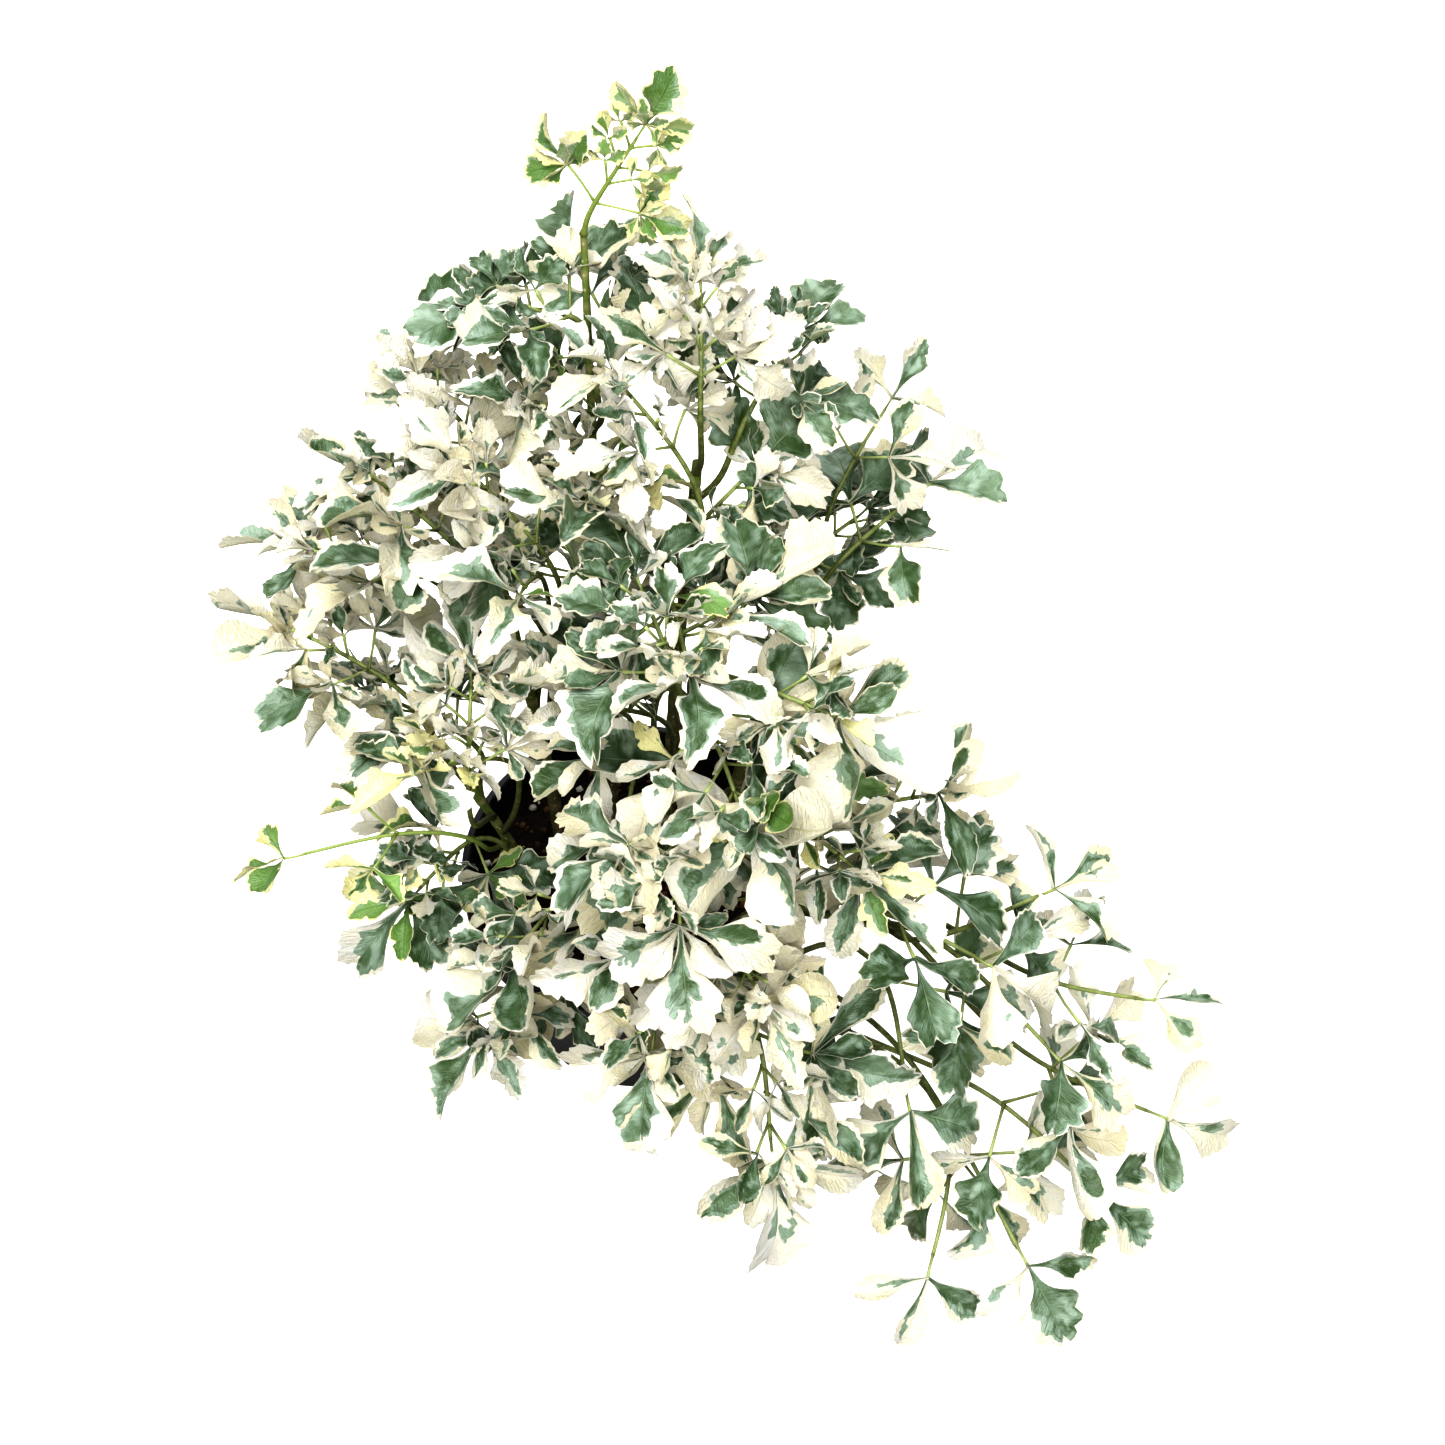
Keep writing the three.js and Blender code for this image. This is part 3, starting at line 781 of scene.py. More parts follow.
branchBends = [(0, 0, 1)]
branchBends += [(lift, 0, 1) for lift in (8, -8, 16, -16)]
branchBends += [(5, roll, 0.96) for roll in (14, -14, 28, -28)]
branchBends += [(lift, 12, 0.9) for lift in (24, -24)]

# where a petiole and a leaflet are held against the solid, in shares of their length, and how
# far off in mm a branch may lie
fitTest = {
    "petiole": [k / 20 for k in range(1, 15)],
    "leaflet": (0.4, 0.7),
    "branchOff": 1.5,
}


def nodeTree(name):
    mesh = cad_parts[name].data
    return BVHTree.FromPolygons(
        [vert.co for vert in mesh.vertices], [face.vertices[:] for face in mesh.polygons],
    )


solidTrees = {name: nodeTree(name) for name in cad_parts}


def gapTo(tree, point):
    return tree.find_nearest(point * mm)[3] / mm


def leafletFrame(frameMatrix, stalk, turn, lift=0.0):
    return (frameMatrix @ Matrix.Translation((0, stalk, 0)) @ Matrix.Rotation(turn, 4, "Z")
            @ Matrix.Rotation(lift, 4, "X"))


def findBow(plan, tree):
    # the first bow whose middle line stays within a petiole's radius of the solid's faces
    def misfit(bow):
        points = petiolePoints(plan, *bow)
        gaps = [gapTo(tree, curvePoint(points, t)) for t in fitTest["petiole"]]
        return round(sum(max(0, gap - frondForm["petioleRadius"]) for gap in gaps), 1)
    return min(petioleBows, key=misfit)


def findBend(plan, branch, tree):
    # the bend that lies in the solid, or none where the solid has no such branch
    def misfit(bend):
        lift, roll, size = bend
        leaf = plan["leaf"] * branch["size"] * size
        place = branchFrame(plan, branch, lift, roll)
        total = 0
        for turn in (-1, 0, 1):
            matrix = leafletFrame(place, branch["stalk"], turn * frondForm["sideLean"])
            for share in fitTest["leaflet"]:
                local = Vector((0, share * leaf, -frondForm["droop"] * leaf * share ** 2))
                total += gapTo(tree, matrix @ local)
        return total / (3 * len(fitTest["leaflet"]))
    best = min(branchBends, key=misfit)
    return best if misfit(best) < fitTest["branchOff"] else None


# Leaflets

# how many faces a leaflet has across and along, where it is large and where it is small
leafletCuts = {"large": (6, 20), "small": (4, 12)}
# where its teeth, its curl and its bowl begin or end, in shares of its length, how its faces
# crowd, how soft the fold at its rib is in mm, and how much finer waves add to its frill
leafletForm = {
    "toothedFrom": 0.5,
    "curlFrom": 0.5,
    "bowlEnd": 0.9,
    "marginCrowding": 0.85,
    "ribCrowding": 1.15,
    "acrossCrowding": 0.9,
    "ribSoftness": 0.6,
    "ripple": 0.25,
}
leafletShapes = {
    "fan": {
        "side": [(0.02, 0), (0.045, 0.22), (0.13, 0.42), (0.25, 0.56), (0.345, 0.69), (0.33, 0.8),
                 (0.26, 0.86), (0.23, 0.97), (0.14, 1.0), (0.03, 0.93)],
        "rib": 0.9, "tooth": 0.016, "cup": 0.3, "bowl": 0.0, "fold": (0.2, 0.95),
    },
    "lobed": {
        "side": [(0.02, 0), (0.05, 0.2), (0.13, 0.36), (0.27, 0.46), (0.4, 0.53), (0.43, 0.63),
                 (0.36, 0.69), (0.31, 0.73), (0.37, 0.83), (0.32, 0.92), (0.23, 0.9), (0.18, 0.93),
                 (0.15, 1.02), (0.07, 1.05), (0.01, 1.0)],
        "rib": 0.97, "tooth": 0.01, "cup": 0.2, "bowl": 0.0, "fold": (0.1, 0.6),
    },
    "frilly": {
        "side": [(0.02, 0), (0.05, 0.24), (0.14, 0.43), (0.27, 0.57), (0.27, 0.67), (0.17, 0.73),
                 (0.18, 0.84), (0.11, 0.94), (0.02, 1.0)],
        "rib": 0.97, "tooth": 0.02, "cup": 0.3, "bowl": 0.0, "fold": (0.25, 1.0),
    },
    "round": {
        "side": [(0.03, 0), (0.06, 0.14), (0.16, 0.32), (0.27, 0.5), (0.31, 0.7), (0.26, 0.88),
                 (0.13, 0.98), (0.02, 1.0)],
        "rib": 0.97, "tooth": 0.006, "cup": 2.5, "bowl": 0.75, "fold": (0.05, 0.35),
    },
    "spoon": {
        "side": [(0.02, 0), (0.045, 0.22), (0.12, 0.42), (0.2, 0.58), (0.23, 0.74), (0.19, 0.89),
                 (0.1, 0.975), (0.02, 1.0)],
        "rib": 0.97, "tooth": 0.012, "cup": 0.7, "bowl": 0.2, "fold": (0.2, 0.9),
    },
}


def outlineRows(shape, count):
    # for each row of the blade, its point on the toothed margin and its foot on the rib
    walk = evenWalk([Vector((x, y, 0)) for x, y in shape["side"]])
    near = 0.02
    rows = []
    for k in range(count + 1):
        share = (k / count) ** leafletForm["marginCrowding"]
        run = walk(share + near) - walk(share - near)
        out = Vector((run.y, -run.x, 0)).normalized()
        toothed = leafletForm["toothedFrom"] < k / count < 1
        tooth = shape["tooth"] * (1 if k % 2 else -1) if toothed else 0
        foot = shape["rib"] * share ** leafletForm["ribCrowding"]
        rows.append((walk(share) + out * tooth, foot))
    return rows


leafletRows = {
    (name, cuts): outlineRows(shape, leafletCuts[cuts][1])
    for name, shape in leafletShapes.items() for cuts in leafletCuts
}

creamShares = {
    "cream": (0.58, 1.0),
    "mixed": (0.33, 0.8),
    "green": (0.04, 0.4),
    "young": (0.2, 0.7),
}
# fronds whose leaflets are partly still yellow-green, and how many of them
stillYoung = {20: 0.85, 22: 0.5, 24: 0.3, 25: 0.2, 27: 0.3, 39: 0.3, 16: 0.2, 4: 0.2}
# fronds that stand alone or spread wide, without further leaflets and branches
airyFronds = (21, 30, 31, 33, 34, 35, 36, 37, 40, 41, 42, 43)
# how much leaflets differ from each other
leafletVariety = {
    "width": (0.88, 1.2),
    "curl": (-0.35, 0.9),
    "frill": (0.01, 0.055),
    "twist": (-0.7, 0.7),
    "lift": (-0.15, 0.32),
    "phase": (0, 6.28),
    "waves": (2.2, 4.2),
    "cup": (0.6, 1.3),
    "size": (0.92, 1.12),
    "youngSize": 1.05,
    "mainYoung": 0.4,
    "otherTint": 0.3,
    "usualYouth": (-0.05, 0.12),
    "partYouth": (0.5, 1.0),
    "youngYouth": (0.8, 1.0),
    "ownShape": 0.75,
    "ownRound": 0.4,
    "lobed": 0.65,
    "lobedCream": 0.35,
}


def addLeaflet(bm, layers, place, length, leaf, shapeName, marks, rng, cuts="small"):
    form = leafletForm
    shape = leafletShapes[shapeName]
    rows = leafletRows[shapeName, cuts]
    across, along = leafletCuts[cuts]
    width, curl, frill, twist, lift = [
        rng.uniform(*leafletVariety[name]) for name in ("width", "curl", "frill", "twist", "lift")
    ]
    fold = rng.uniform(*shape["fold"])
    place = place @ Matrix.Rotation(lift, 4, "X")
    phase = rng.uniform(*leafletVariety["phase"])
    waves = rng.uniform(*leafletVariety["waves"])
    cup = shape["cup"] * rng.uniform(*leafletVariety["cup"])
    grid = bmesh.ops.create_grid(
        bm, x_segments=across, y_segments=along, size=0.5, calc_uvs=True,
    )["verts"]
    for vert in grid:
        side = vert.co.x * 2
        margin, rib = rows[round((vert.co.y + 0.5) * along)]
        inward = abs(side) ** form["acrossCrowding"]
        flat = Vector((0, rib, 0)).lerp(margin, inward)
        x = flat.x * length * width * math.copysign(1, side)
        y = flat.y * length
        rise = fold * math.sqrt(x * x + form["ribSoftness"]) + cup * x * x / length
        rise += frill * length * inward ** 2 * math.sin(waves * rib * 3 + phase + side)
        ripple = form["ripple"] * frill * length * inward ** 4
        rise += ripple * math.sin(waves * rib * 9 + phase * 2)
        tip = max(0, y / length - form["curlFrom"])
        rise -= curl * length * tip ** 2
        rise += shape["bowl"] * y * (y / length - form["bowlEnd"])
        rise -= frondForm["droop"] * (x * x + y * y) / leaf
        squeeze = 1 / math.sqrt(1 + fold ** 2)
        point = Vector((x * squeeze, y, rise))
        vert.co = place @ (Matrix.Rotation(twist * y / length, 3, "Y") @ point)
    setMarks(grid, layers, **marks)
    sheet = list({face for vert in grid for face in vert.link_faces})
    grown = bmesh.ops.solidify(bm, geom=sheet, thickness=frondForm["bladeThickness"])["geom"]
    under = [part for part in grown if isinstance(part, bmesh.types.BMFace)]
    for face in under:
        face.material_index = undersideSlot
    for skin in (set(sheet), set(under)):
        for edge in {edge for face in skin for edge in face.edges}:
            edge.smooth = len(skin & set(edge.link_faces)) == 2


def leafMarks(tint, rng, youngShare=0.0):
    # most leaflets keep their frond's colouring, some take another
    chosen = tint
    if tint != "young" and rng.random() < leafletVariety["otherTint"]:
        chosen = rng.choice(["cream", "mixed", "green"])
    youth = max(0, rng.gauss(*leafletVariety["usualYouth"]))
    if tint == "young" or rng.random() < youngShare:
        youth = rng.uniform(*leafletVariety["youngYouth" if tint == "young" else "partYouth"])
    return {"seed": rng.random(), "cream": rng.uniform(*creamShares[chosen]), "youth": min(youth, 1)}


def stalkMarks(pale, paler, youth):
    # how pale a stalk is at its foot, and how much paler it becomes towards its leaflets
    return lambda share: {"seed": 0, "cream": pale + paler * share, "youth": youth}


def pickShape(plan, marks, rng):
    # most leaflets have their frond's own shape, the greenest fans are often lobed, and broad
    # ones are mixed with slimmer ones
    vary = leafletVariety
    usual = plan["shape"]
    if rng.random() < (vary["ownRound"] if usual == "round" else vary["ownShape"]):
        green = usual == "fan" and marks["cream"] < vary["lobedCream"]
        return "lobed" if green and rng.random() < vary["lobed"] else usual
    return rng.choice(["fan", "spoon", "frilly"])


# further leaflets around a branch's own three. They keep their distance in mm from every other
# solid, felt at the probes
furtherLeaflets = {
    "turns": (34, 97),
    "spread": (-6, 6),
    "sizes": ((0.5, 0.78), (0.34, 0.58)),
    "lifts": (0.35, -0.2, 0.65),
    "frillyYouth": 0.4,
    "probes": ((0, 0.35), (0, 0.65), (0.2, 0.7), (-0.2, 0.7), (0, 1)),
    "distance": 1.2,
}
# smaller branches along the leafy part: where they start, how far they turn and rise, and how
# large their leaflets are
furtherBranches = [
    {"along": 0.62, "turn": (0.75, 1.05), "lean": (0.1, 0.5), "size": (0.5, 0.72), "stalk": 0.34},
    {"along": 0.4, "turn": (0.4, 0.7), "lean": (0.7, 1.1), "size": (0.36, 0.52), "stalk": 0.3},
    {"along": 0.88, "turn": (0.5, 0.9), "lean": (0.4, 0.8), "size": (0.36, 0.56), "stalk": 0.32},
]
furtherTwist = (-0.3, 0.3)
furtherTurns = (-1.1, 0, 1.1)
youngLean = 0.2
# a branch's stalk starts inside the rachis and sags at its knee
branchForm = {
    "sunk": 0.6,
    "knee": 0.5,
    "sag": 0.04,
    "swelling": (1.5, 1.05, 1, 1.1, 1.35),
    "sides": 6,
    "pale": (0.45, 0.5),
    "leaflets": ((-1, 0.88), (0, 1), (1, 0.88)),
}


def clearOfOthers(own, place, length):
    probes = [place @ Vector((x * length, y * length, 0)) for x, y in furtherLeaflets["probes"]]
    return all(gapTo(tree, probe) > furtherLeaflets["distance"] for name, tree in solidTrees.items()
               if name != own for probe in probes)


def addBranch(bm, layers, plan, branch, bend, own, rng, full):
    form = branchForm
    more = furtherLeaflets
    lift, roll, size = bend
    leaf = plan["leaf"] * branch["size"] * size
    place = branchFrame(plan, branch, lift, roll)
    stalk = branch["stalk"]
    foot = place @ Vector((0, -form["sunk"], 0))
    knee = place @ Vector((0, stalk * form["knee"], -form["sag"] * stalk))
    junction = place @ Vector((0, stalk, 0))
    thick = frondForm["stalkRadius"] * plan["thick"]
    addTube(
        bm, layers, evenWalk([foot, knee, junction], cuts=24),
        [thick * swell for swell in form["swelling"]],
        form["sides"], stalkSlot, stalkMarks(*form["pale"], plan["stalkYouth"]),
    )
    for turn, share in form["leaflets"]:
        matrix = leafletFrame(place, stalk, turn * frondForm["sideLean"])
        length = leaf * share * rng.uniform(*leafletVariety["size"])
        if plan["young"]:
            length *= leafletVariety["youngSize"]
        marks = leafMarks(plan["tint"], rng, plan["youngShare"] * leafletVariety["mainYoung"])
        shape = pickShape(plan, marks, rng)
        addLeaflet(bm, layers, matrix, length, leaf, shape, marks, rng, "large")
    if not full:
        return
    for degrees, sizes in zip(more["turns"], more["sizes"]):
        for hand in (1, -1):
            turn = hand * math.radians(degrees + rng.uniform(*more["spread"]))
            length = leaf * rng.uniform(*sizes)
            marks = leafMarks(plan["tint"], rng, plan["youngShare"])
            frilly = plan["shape"] == "frilly" or marks["youth"] > more["frillyYouth"]
            for tilt in more["lifts"]:
                matrix = leafletFrame(place, stalk, turn, tilt)
                if clearOfOthers(own, matrix, length):
                    shape = "frilly" if frilly else "spoon"
                    addLeaflet(bm, layers, matrix, length, leaf, shape, marks, rng)
                    break


def petioleRadii(plan):
    foot = frondForm["petioleRadius"]
    taper = frondForm["rachisRadius"] - foot
    stations = frondForm["petioleStations"]
    radii = [(foot + taper * (k / stations)) * plan["thick"] for k in range(stations + 1)]
    radii[0] = foot * frondForm["petioleSwelling"] * plan["thick"]
    return radii


def buildFrond(index):
    own = f"frond_{index + 1:02d}"
    plan = planFrond(index)
    rng = random.Random(700 + index)
    tree = solidTrees[own]
    points = petiolePoints(plan, *findBow(plan, tree))
    bm, layers = newMesh(("seed", "cream", "youth"))
    addTube(
        bm, layers, relaxed(evenWalk(points, cuts=60)), petioleRadii(plan), frondForm["petioleSides"],
        stalkSlot, stalkMarks(0, frondForm["petiolePale"], plan["stalkYouth"]),
    )
    kept = 0
    for branch in plan["branches"]:
        bend = findBend(plan, branch, tree)
        if bend:
            addBranch(bm, layers, plan, branch, bend, own, rng, not plan["airy"])
            kept += 1
    for further in () if plan["airy"] else furtherBranches:
        for hand in (1, -1):
            branch = {
                "turn": hand * rng.uniform(*further["turn"]),
                "lean": rng.uniform(*further["lean"]) * (youngLean if plan["young"] else 1),
                "twist": rng.uniform(*furtherTwist),
                "stalk": plan["spread"] * further["stalk"],
                "at": plan["start"].lerp(plan["end"], further["along"]),
                "size": rng.uniform(*further["size"]),
            }
            place = branchFrame(plan, branch)
            leaf = plan["leaf"] * branch["size"]
            if all(clearOfOthers(own, leafletFrame(place, branch["stalk"], turn), leaf)
                   for turn in furtherTurns):
                addBranch(bm, layers, plan, branch, (0, 0, 1), own, rng, False)
                kept += 1
    finishPiece(bm, f"leafy_{own}", leafParts, [own])
    return kept


# Sprouts: tufts of small yellow-green leaflets on short stalks, straight from a cane

sproutForm = {
    "stalk": (12, 20), "leaf": (7, 11), "leaflets": 6, "radius": 0.7, "sides": 6, "rise": 0.7,
    "tipRise": 0.3, "swelling": (1.4, 1, 1, 1.2), "pale": (0.5, 0.4), "youth": 0.9,
    "overlap": 0.4, "spinSpread": (-0.3, 0.3), "lifts": (0.1, 0.9),
}
sprouts = [("back", 0.82, 200), ("back", 0.42, 250), ("leftBack", 0.66, -40), ("middle", 0.6, -70),
           ("centre", 0.9, 250), ("rightFront", 0.45, -60), ("left", 0.6, -90)]


def buildSprout(number):
    form = sproutForm
    cane, share, heading = sprouts[number]
    rng = random.Random(900 + number)
    root = caneWalks[cane](share)
    turn = math.radians(heading)
    out = Vector((math.cos(turn), math.sin(turn), form["rise"])).normalized()
    length = rng.uniform(*form["stalk"])
    tip = root + out * length + Vector((0, 0, form["tipRise"] * length))
    bm, layers = newMesh(("seed", "cream", "youth"))
    addTube(
        bm, layers, evenWalk([root, root + out * length * 0.5, tip], cuts=24),
        [form["radius"] * swell for swell in form["swelling"]], form["sides"], stalkSlot,
        stalkMarks(*form["pale"], form["youth"]),
    )
    place = frameAt(tip, out, Vector((0, 0, 1)))
    for k in range(form["leaflets"]):
        spin = 2 * math.pi * k / form["leaflets"] + rng.uniform(*form["spinSpread"])
        leaf = rng.uniform(*form["leaf"])
        matrix = leafletFrame(place, -form["overlap"], spin, rng.uniform(*form["lifts"]))
        addLeaflet(bm, layers, matrix, leaf, leaf, "frilly", leafMarks("young", rng), rng)
    finishPiece(bm, f"young_sprout_{number + 1}", leafParts)


branchCount = 0
for index in range(len(fronds)):
    branchCount += buildFrond(index)
print("fronds built,", len(fronds), "with", branchCount, "branches")
for number in range(len(sprouts)):
    buildSprout(number)
print("sprouts built,", len(sprouts))


# Canes: round stems with the ring scars of fallen fronds

caneForm = {
    "radius": 3.6, "tipRadius": 2.3, "slimTips": {"back": 1.4}, "sides": 12, "station": 2.2,
    "scarGap": 13, "scarReach": 2.2, "scarSwelling": 0.1, "between": 0.94, "wobble": 0.16,
    "wobbleScale": 0.09,
}


def buildCane(name):
    form = caneForm
    walk = caneWalks[name]
    rng = random.Random(len(name) * 31 + ord(name[0]))
    stations = int(walk.length / form["station"])
    taper = form["slimTips"].get(name, form["tipRadius"]) - form["radius"]
    offset = rng.uniform(0, form["scarGap"])
    radii = []
    scars = []
    for k in range(stations + 1):
        share = k / stations
        place = share * walk.length + offset
        near = abs(place % form["scarGap"] - form["scarGap"] / 2)
        scar = max(0, 1 - near / form["scarReach"])
        wobble = form["wobble"] * noise.noise(walk(share) * form["wobbleScale"])
        swelling = form["between"] + wobble + form["scarSwelling"] * scar
        radii.append((form["radius"] + taper * share) * swelling)
        scars.append(scar)
    bm, layers = newMesh(("height", "scar"))
    addTube(
        bm, layers, walk, radii, form["sides"], 0,
        lambda share: {"height": share, "scar": scars[round(share * stations)]},
    )
    finishPiece(bm, f"bark_cane_{name}", [materials["cane"]], [f"cane_{name}"])


for name in canes:
    buildCane(name)
print("canes built,", len(canes))


# Pot: one turned wall with a folded rim band and drain holes

potForm = {
    "height": 120, "rim": 77, "base": 55, "wall": 1.8, "floor": 2.2, "band": 17, "standout": 1.8,
    "round": 0.7, "groove": 0.5, "steps": 96, "sharp": math.radians(40),
    "drainRadius": 5, "drainCircle": 40, "drainCount": 6, "drainSides": 24,
}
# the foot of the rim band, the wall's outer and inner radius there, and how far it leans out
bandFoot = potForm["height"] - potForm["band"]
outer = potForm["rim"] - potForm["standout"]
inner = outer - potForm["wall"]
slope = (outer - potForm["base"]) / bandFoot


def potProfile():
    rim = potForm["rim"]
    base = potForm["base"]
    top = potForm["height"]
    bend = potForm["round"]
    groove = rim - potForm["groove"]
    inside = base - potForm["wall"]
    return [
        (0, 0), (base - 2, 0), (base - bend * 0.4, bend), (base + slope * 3, 3),
        (base + slope * 50, 50), (outer - slope, bandFoot - 1), (outer + bend, bandFoot),
        (rim, bandFoot + bend), (rim, bandFoot + 5), (groove, bandFoot + 5.7),
        (groove, top - 4.6), (rim, top - 3.8), (rim, top - bend), (rim - bend, top),
        (inner + bend, top), (inner, top - bend), (inner, bandFoot),
        (inside + slope * 6, 6), (inside, potForm["floor"]), (0, potForm["floor"]),
    ]


def spunShell(bm, profile, steps):
    verts = [bm.verts.new((radius, 0, z)) for radius, z in profile]
    edges = [bm.edges.new(pair) for pair in zip(verts, verts[1:])]
    bmesh.ops.spin(
        bm, geom=verts + edges, cent=(0, 0, 0), axis=(0, 0, 1), angle=2 * math.pi,
        steps=steps, use_merge=True,
    )
    bmesh.ops.remove_doubles(bm, verts=bm.verts, dist=0.001)
    bmesh.ops.recalc_face_normals(bm, faces=bm.faces)


def buildPot():
    form = potForm
    bm = newMesh()[0]
    spunShell(bm, potProfile(), form["steps"])
    for edge in bm.edges:
        edge.smooth = edge.calc_face_angle(0) < form["sharp"]
    pot = finishPiece(bm, "nursery_pot", [materials["pot"]], ["pot"])
    drills = bmesh.new()
    for k in range(form["drainCount"]):
        turn = 2 * math.pi * (k + 0.5) / form["drainCount"]
        centre = (form["drainCircle"] * math.cos(turn), form["drainCircle"] * math.sin(turn), 0)
        bmesh.ops.create_cone(
            drills, cap_ends=True, segments=form["drainSides"], radius1=form["drainRadius"],
            radius2=form["drainRadius"], depth=4 * form["floor"], matrix=Matrix.Translation(centre),
        )
    bmesh.ops.scale(drills, vec=(mm, mm, mm), verts=drills.verts)
    cutter = newObject(drills, "drills")
    cut = pot.modifiers.new("drainHoles", "BOOLEAN")
    cut.operation = "DIFFERENCE"
    cut.solver = "EXACT"
    cut.object = cutter
    evaluated = pot.evaluated_get(bpy.context.evaluated_depsgraph_get())
    drilled = bpy.data.meshes.new_from_object(evaluated)
    pot.modifiers.clear()
    pot.data = drilled
    bpy.data.objects.remove(cutter)


buildPot()
print("pot built")


# Soil: a crowned, lumpy surface that fills the pot, with bark crumbs and perlite on top

soilForm = {
    "top": 108, "sunk": 1, "crown": 3, "gap": 0.3, "shoulder": 0.6, "steps": 96, "rings": 22,
    "lump": 2.4, "lumpScale": 0.09, "lumpDetail": 4, "calmRim": 0.7,
}
crumbForm = {
    "bark": 340, "perlite": 70, "size": (0.9, 2.6), "fromWall": 4, "raised": 0.25, "tilt": 0.3,
    "depth": (0.6, 1), "height": (0.4, 0.8), "lump": 0.35, "lumpScale": 0.9,
}


def soilHeight(x, y):
    form = soilForm
    share = min(math.hypot(x, y) / (inner - form["gap"]), 1)
    fall = max(0, (share - form["shoulder"]) / (1 - form["shoulder"]))
    place = Vector((x, y, 0)) * form["lumpScale"]
    lumps = noise.fractal(place, 1.0, 2.0, form["lumpDetail"]) * form["lump"]
    calm = 1 - form["calmRim"] * share ** 6
    return form["top"] - form["sunk"] - form["crown"] * fall + lumps * calm


def buildSoil():
    form = soilForm
    reach = inner - form["gap"]
    bottom = potForm["floor"] + form["gap"]
    foot = potForm["base"] - potForm["wall"] - 1 + slope * bottom
    profile = [(reach * k / form["rings"], form["top"]) for k in range(form["rings"] + 1)]
    profile += [(reach, bandFoot), (foot, bottom), (0, bottom)]
    bm = newMesh()[0]
    spunShell(bm, profile, form["steps"])
    for vert in bm.verts:
        if vert.co.z > bandFoot + 1:
            vert.co.z = soilHeight(vert.co.x, vert.co.y)
    finishPiece(bm, "potting_soil", [materials["soil"]], ["soil"])


def scatterCrumbs(name, count, material, seed):
    form = crumbForm
    rng = random.Random(seed)
    # without a seed of its own, the noise of the lumps would differ from run to run
    noise.seed_set(seed)
    bm, layers = newMesh(("seed",))
    for k in range(count):
        reach = (inner - form["fromWall"]) * math.sqrt(rng.random())
        turn = rng.uniform(0, 2 * math.pi)
        x = reach * math.cos(turn)
        y = reach * math.sin(turn)
        size = rng.uniform(*form["size"])
        place = Matrix.Translation((x, y, soilHeight(x, y) + size * form["raised"]))
        spin = rng.uniform(0, 6.28)
        place @= Matrix.Rotation(spin, 4, (rng.random(), rng.random(), form["tilt"]))
        depth = rng.uniform(*form["depth"])
        height = rng.uniform(*form["height"])
        place @= Matrix.Diagonal((size, size * depth, size * height, 1))
        grain = bmesh.ops.create_icosphere(bm, subdivisions=1, radius=1, matrix=place)["verts"]
        for vert in grain:
            lump = noise.noise_vector(vert.co * form["lumpScale"])
            vert.co += lump * size * form["lump"]
        setMarks(grain, layers, seed=rng.random())
    finishPiece(bm, name, [material])


buildSoil()
scatterCrumbs("bark_crumbs", crumbForm["bark"], materials["crumb"], seed=11)
scatterCrumbs("perlite_grains", crumbForm["perlite"], materials["perlite"], seed=12)
print("soil built")


# Floor, lights and camera

stageForm = {
    "floorSize": 4.0,
    "floorDrop": 0.0002,
    "world": 0.12,
    "backdrop": 0.9,
    "lights": {
        "key": {"place": (-0.8, -0.6, 3.2), "size": 2.4, "power": 95},
        "fill": {"place": (0.5, -1.7, 1.6), "size": 1.4, "power": 27},
        "back": {"place": (0.3, 1.5, 1.4), "size": 1.8, "power": 22},
    },
}
viewForm = {"target": (0.042, 0.008, 0.220), "distance": 0.9, "elevation": 55, "lens": 53.4}


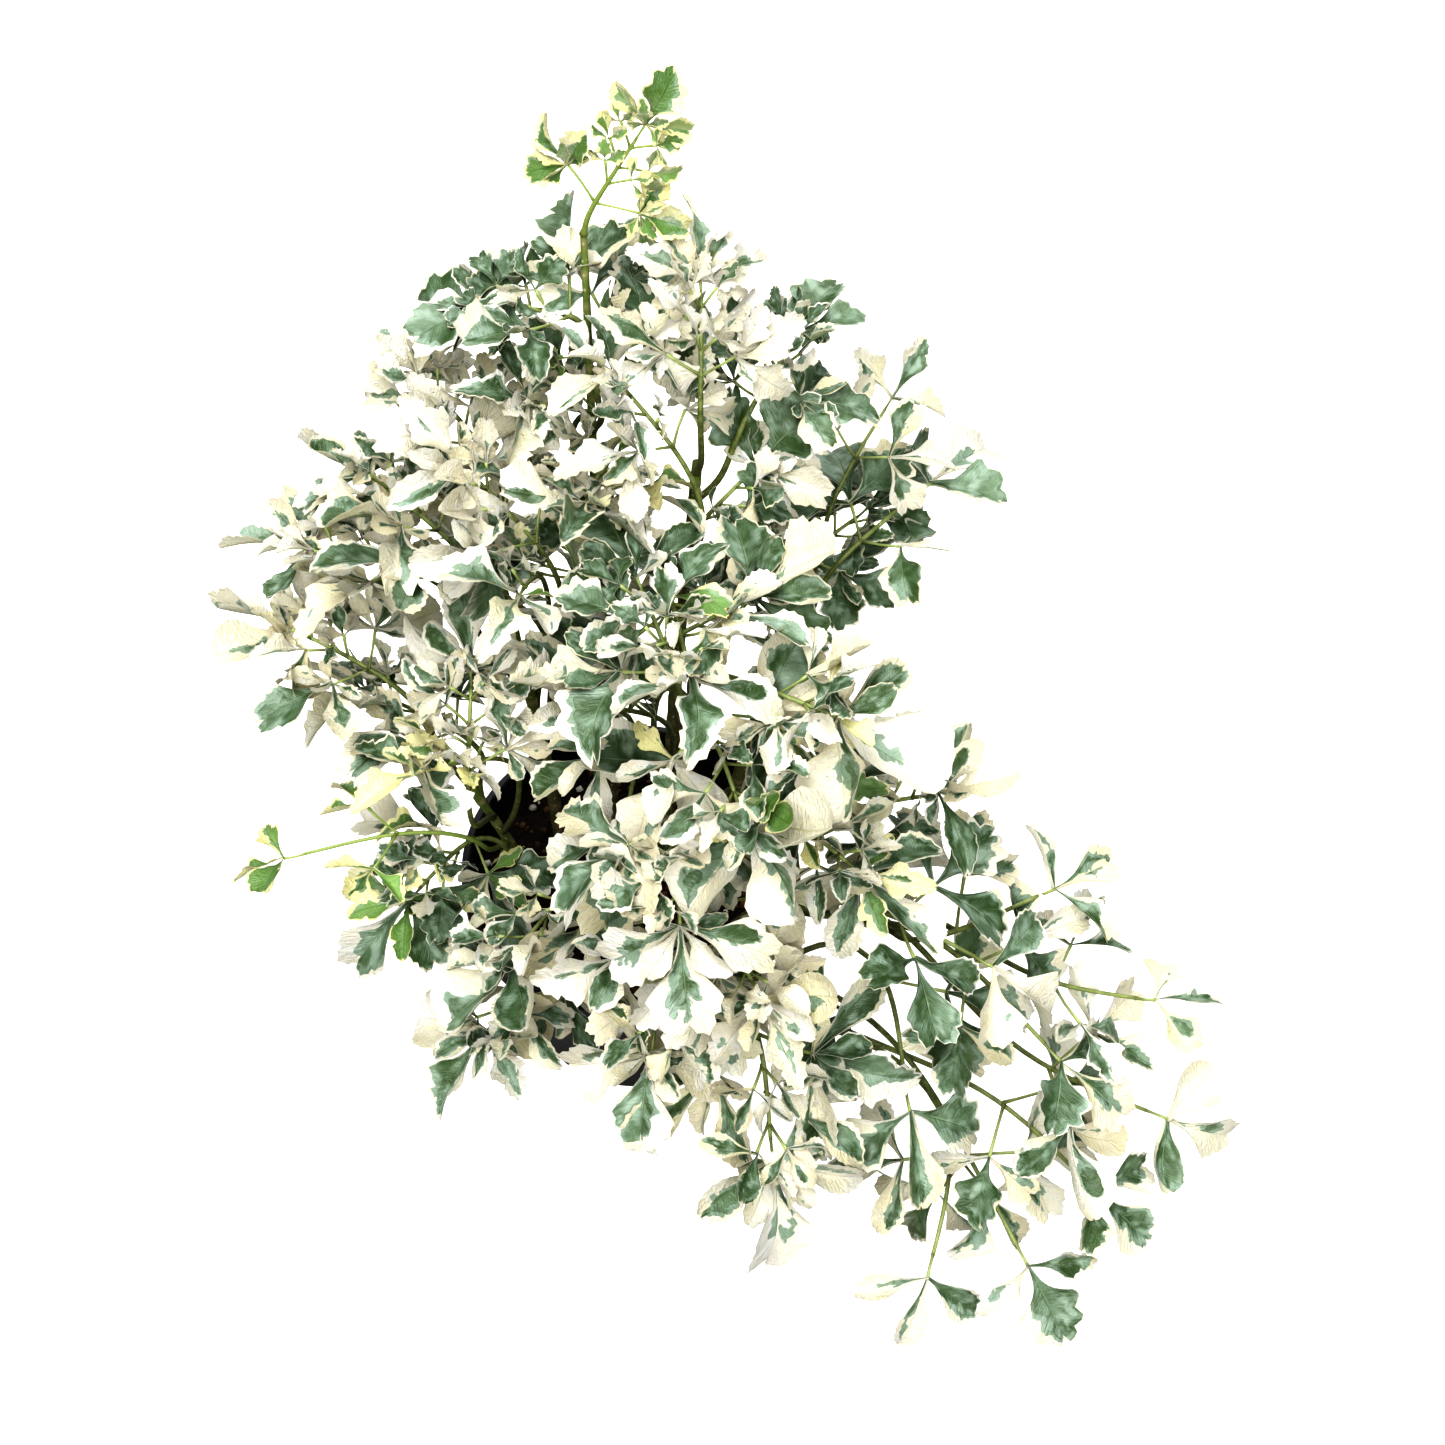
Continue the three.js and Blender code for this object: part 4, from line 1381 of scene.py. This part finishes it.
def floorMaterial():
    # pale to the camera, with a painted glow seen by the camera alone that lifts its shadows, and
    # greyer where it throws light back upwards
    material, tree, shader = newMaterial("paleFloor", 0.8)
    pale = mixColours(tree, noiseAt(tree, objectPlace(tree), 3.0, 2.0), "#e9e9e8", "#eeeeed")
    seen = addNode(tree, "ShaderNodeLightPath").outputs["Is Camera Ray"]
    feed(tree, mixColours(tree, seen, "#8e8e8c", pale), shader.inputs["Base Color"])
    # painted light: the floor glows grey to the camera only, so that the shadows cast on it look
    # lighter
    feed(tree, mixColours(tree, seen, "#000000", "#aaaaaa"), shader.inputs["Emission Color"])
    shader.inputs["Emission Strength"].default_value = 1
    return material


def addLamp(name, light):
    data = bpy.data.lights.new(name, "AREA")
    data.size = light["size"]
    data.energy = light["power"]
    lamp = bpy.data.objects.new(name, data)
    lamp.location = light["place"]
    aim = Vector(viewForm["target"]) - lamp.location
    lamp.rotation_euler = aim.to_track_quat("-Z", "Y").to_euler()
    bpy.context.scene.collection.objects.link(lamp)


def buildStage():
    bm = bmesh.new()
    bmesh.ops.create_grid(bm, x_segments=1, y_segments=1, size=stageForm["floorSize"] / 2)
    bmesh.ops.translate(bm, vec=(0, 0, -stageForm["floorDrop"]), verts=bm.verts)
    floor = newObject(bm, "paleFloor", [floorMaterial()])
    world = bpy.data.worlds.new("softStudio")
    world.use_nodes = True
    # the backdrop looks pale, and lights the plant only dimly
    tree = world.node_tree
    background = tree.nodes["Background"]
    seen = addNode(tree, "ShaderNodeLightPath").outputs["Is Camera Ray"]
    tones = [(tone, tone, tone, 1) for tone in (stageForm["world"], stageForm["backdrop"])]
    feed(tree, mixColours(tree, seen, *tones), background.inputs["Color"])
    bpy.context.scene.world = world
    for name, light in stageForm["lights"].items():
        addLamp(name, light)


def placeCamera():
    angle = math.radians(viewForm["elevation"])
    away = Vector((0, -math.cos(angle), math.sin(angle)))
    data = bpy.data.cameras.new("photoView")
    data.lens = viewForm["lens"]
    data.clip_start = 0.01
    camera = bpy.data.objects.new("photoView", data)
    camera.location = Vector(viewForm["target"]) + away * viewForm["distance"]
    camera.rotation_euler = (-away).to_track_quat("-Z", "Y").to_euler()
    bpy.context.scene.collection.objects.link(camera)
    bpy.context.scene.camera = camera


buildStage()
placeCamera()
bpy.context.scene.view_settings.view_transform = "Standard"
bpy.context.scene.view_settings.look = "Very High Contrast"

print("stage set")
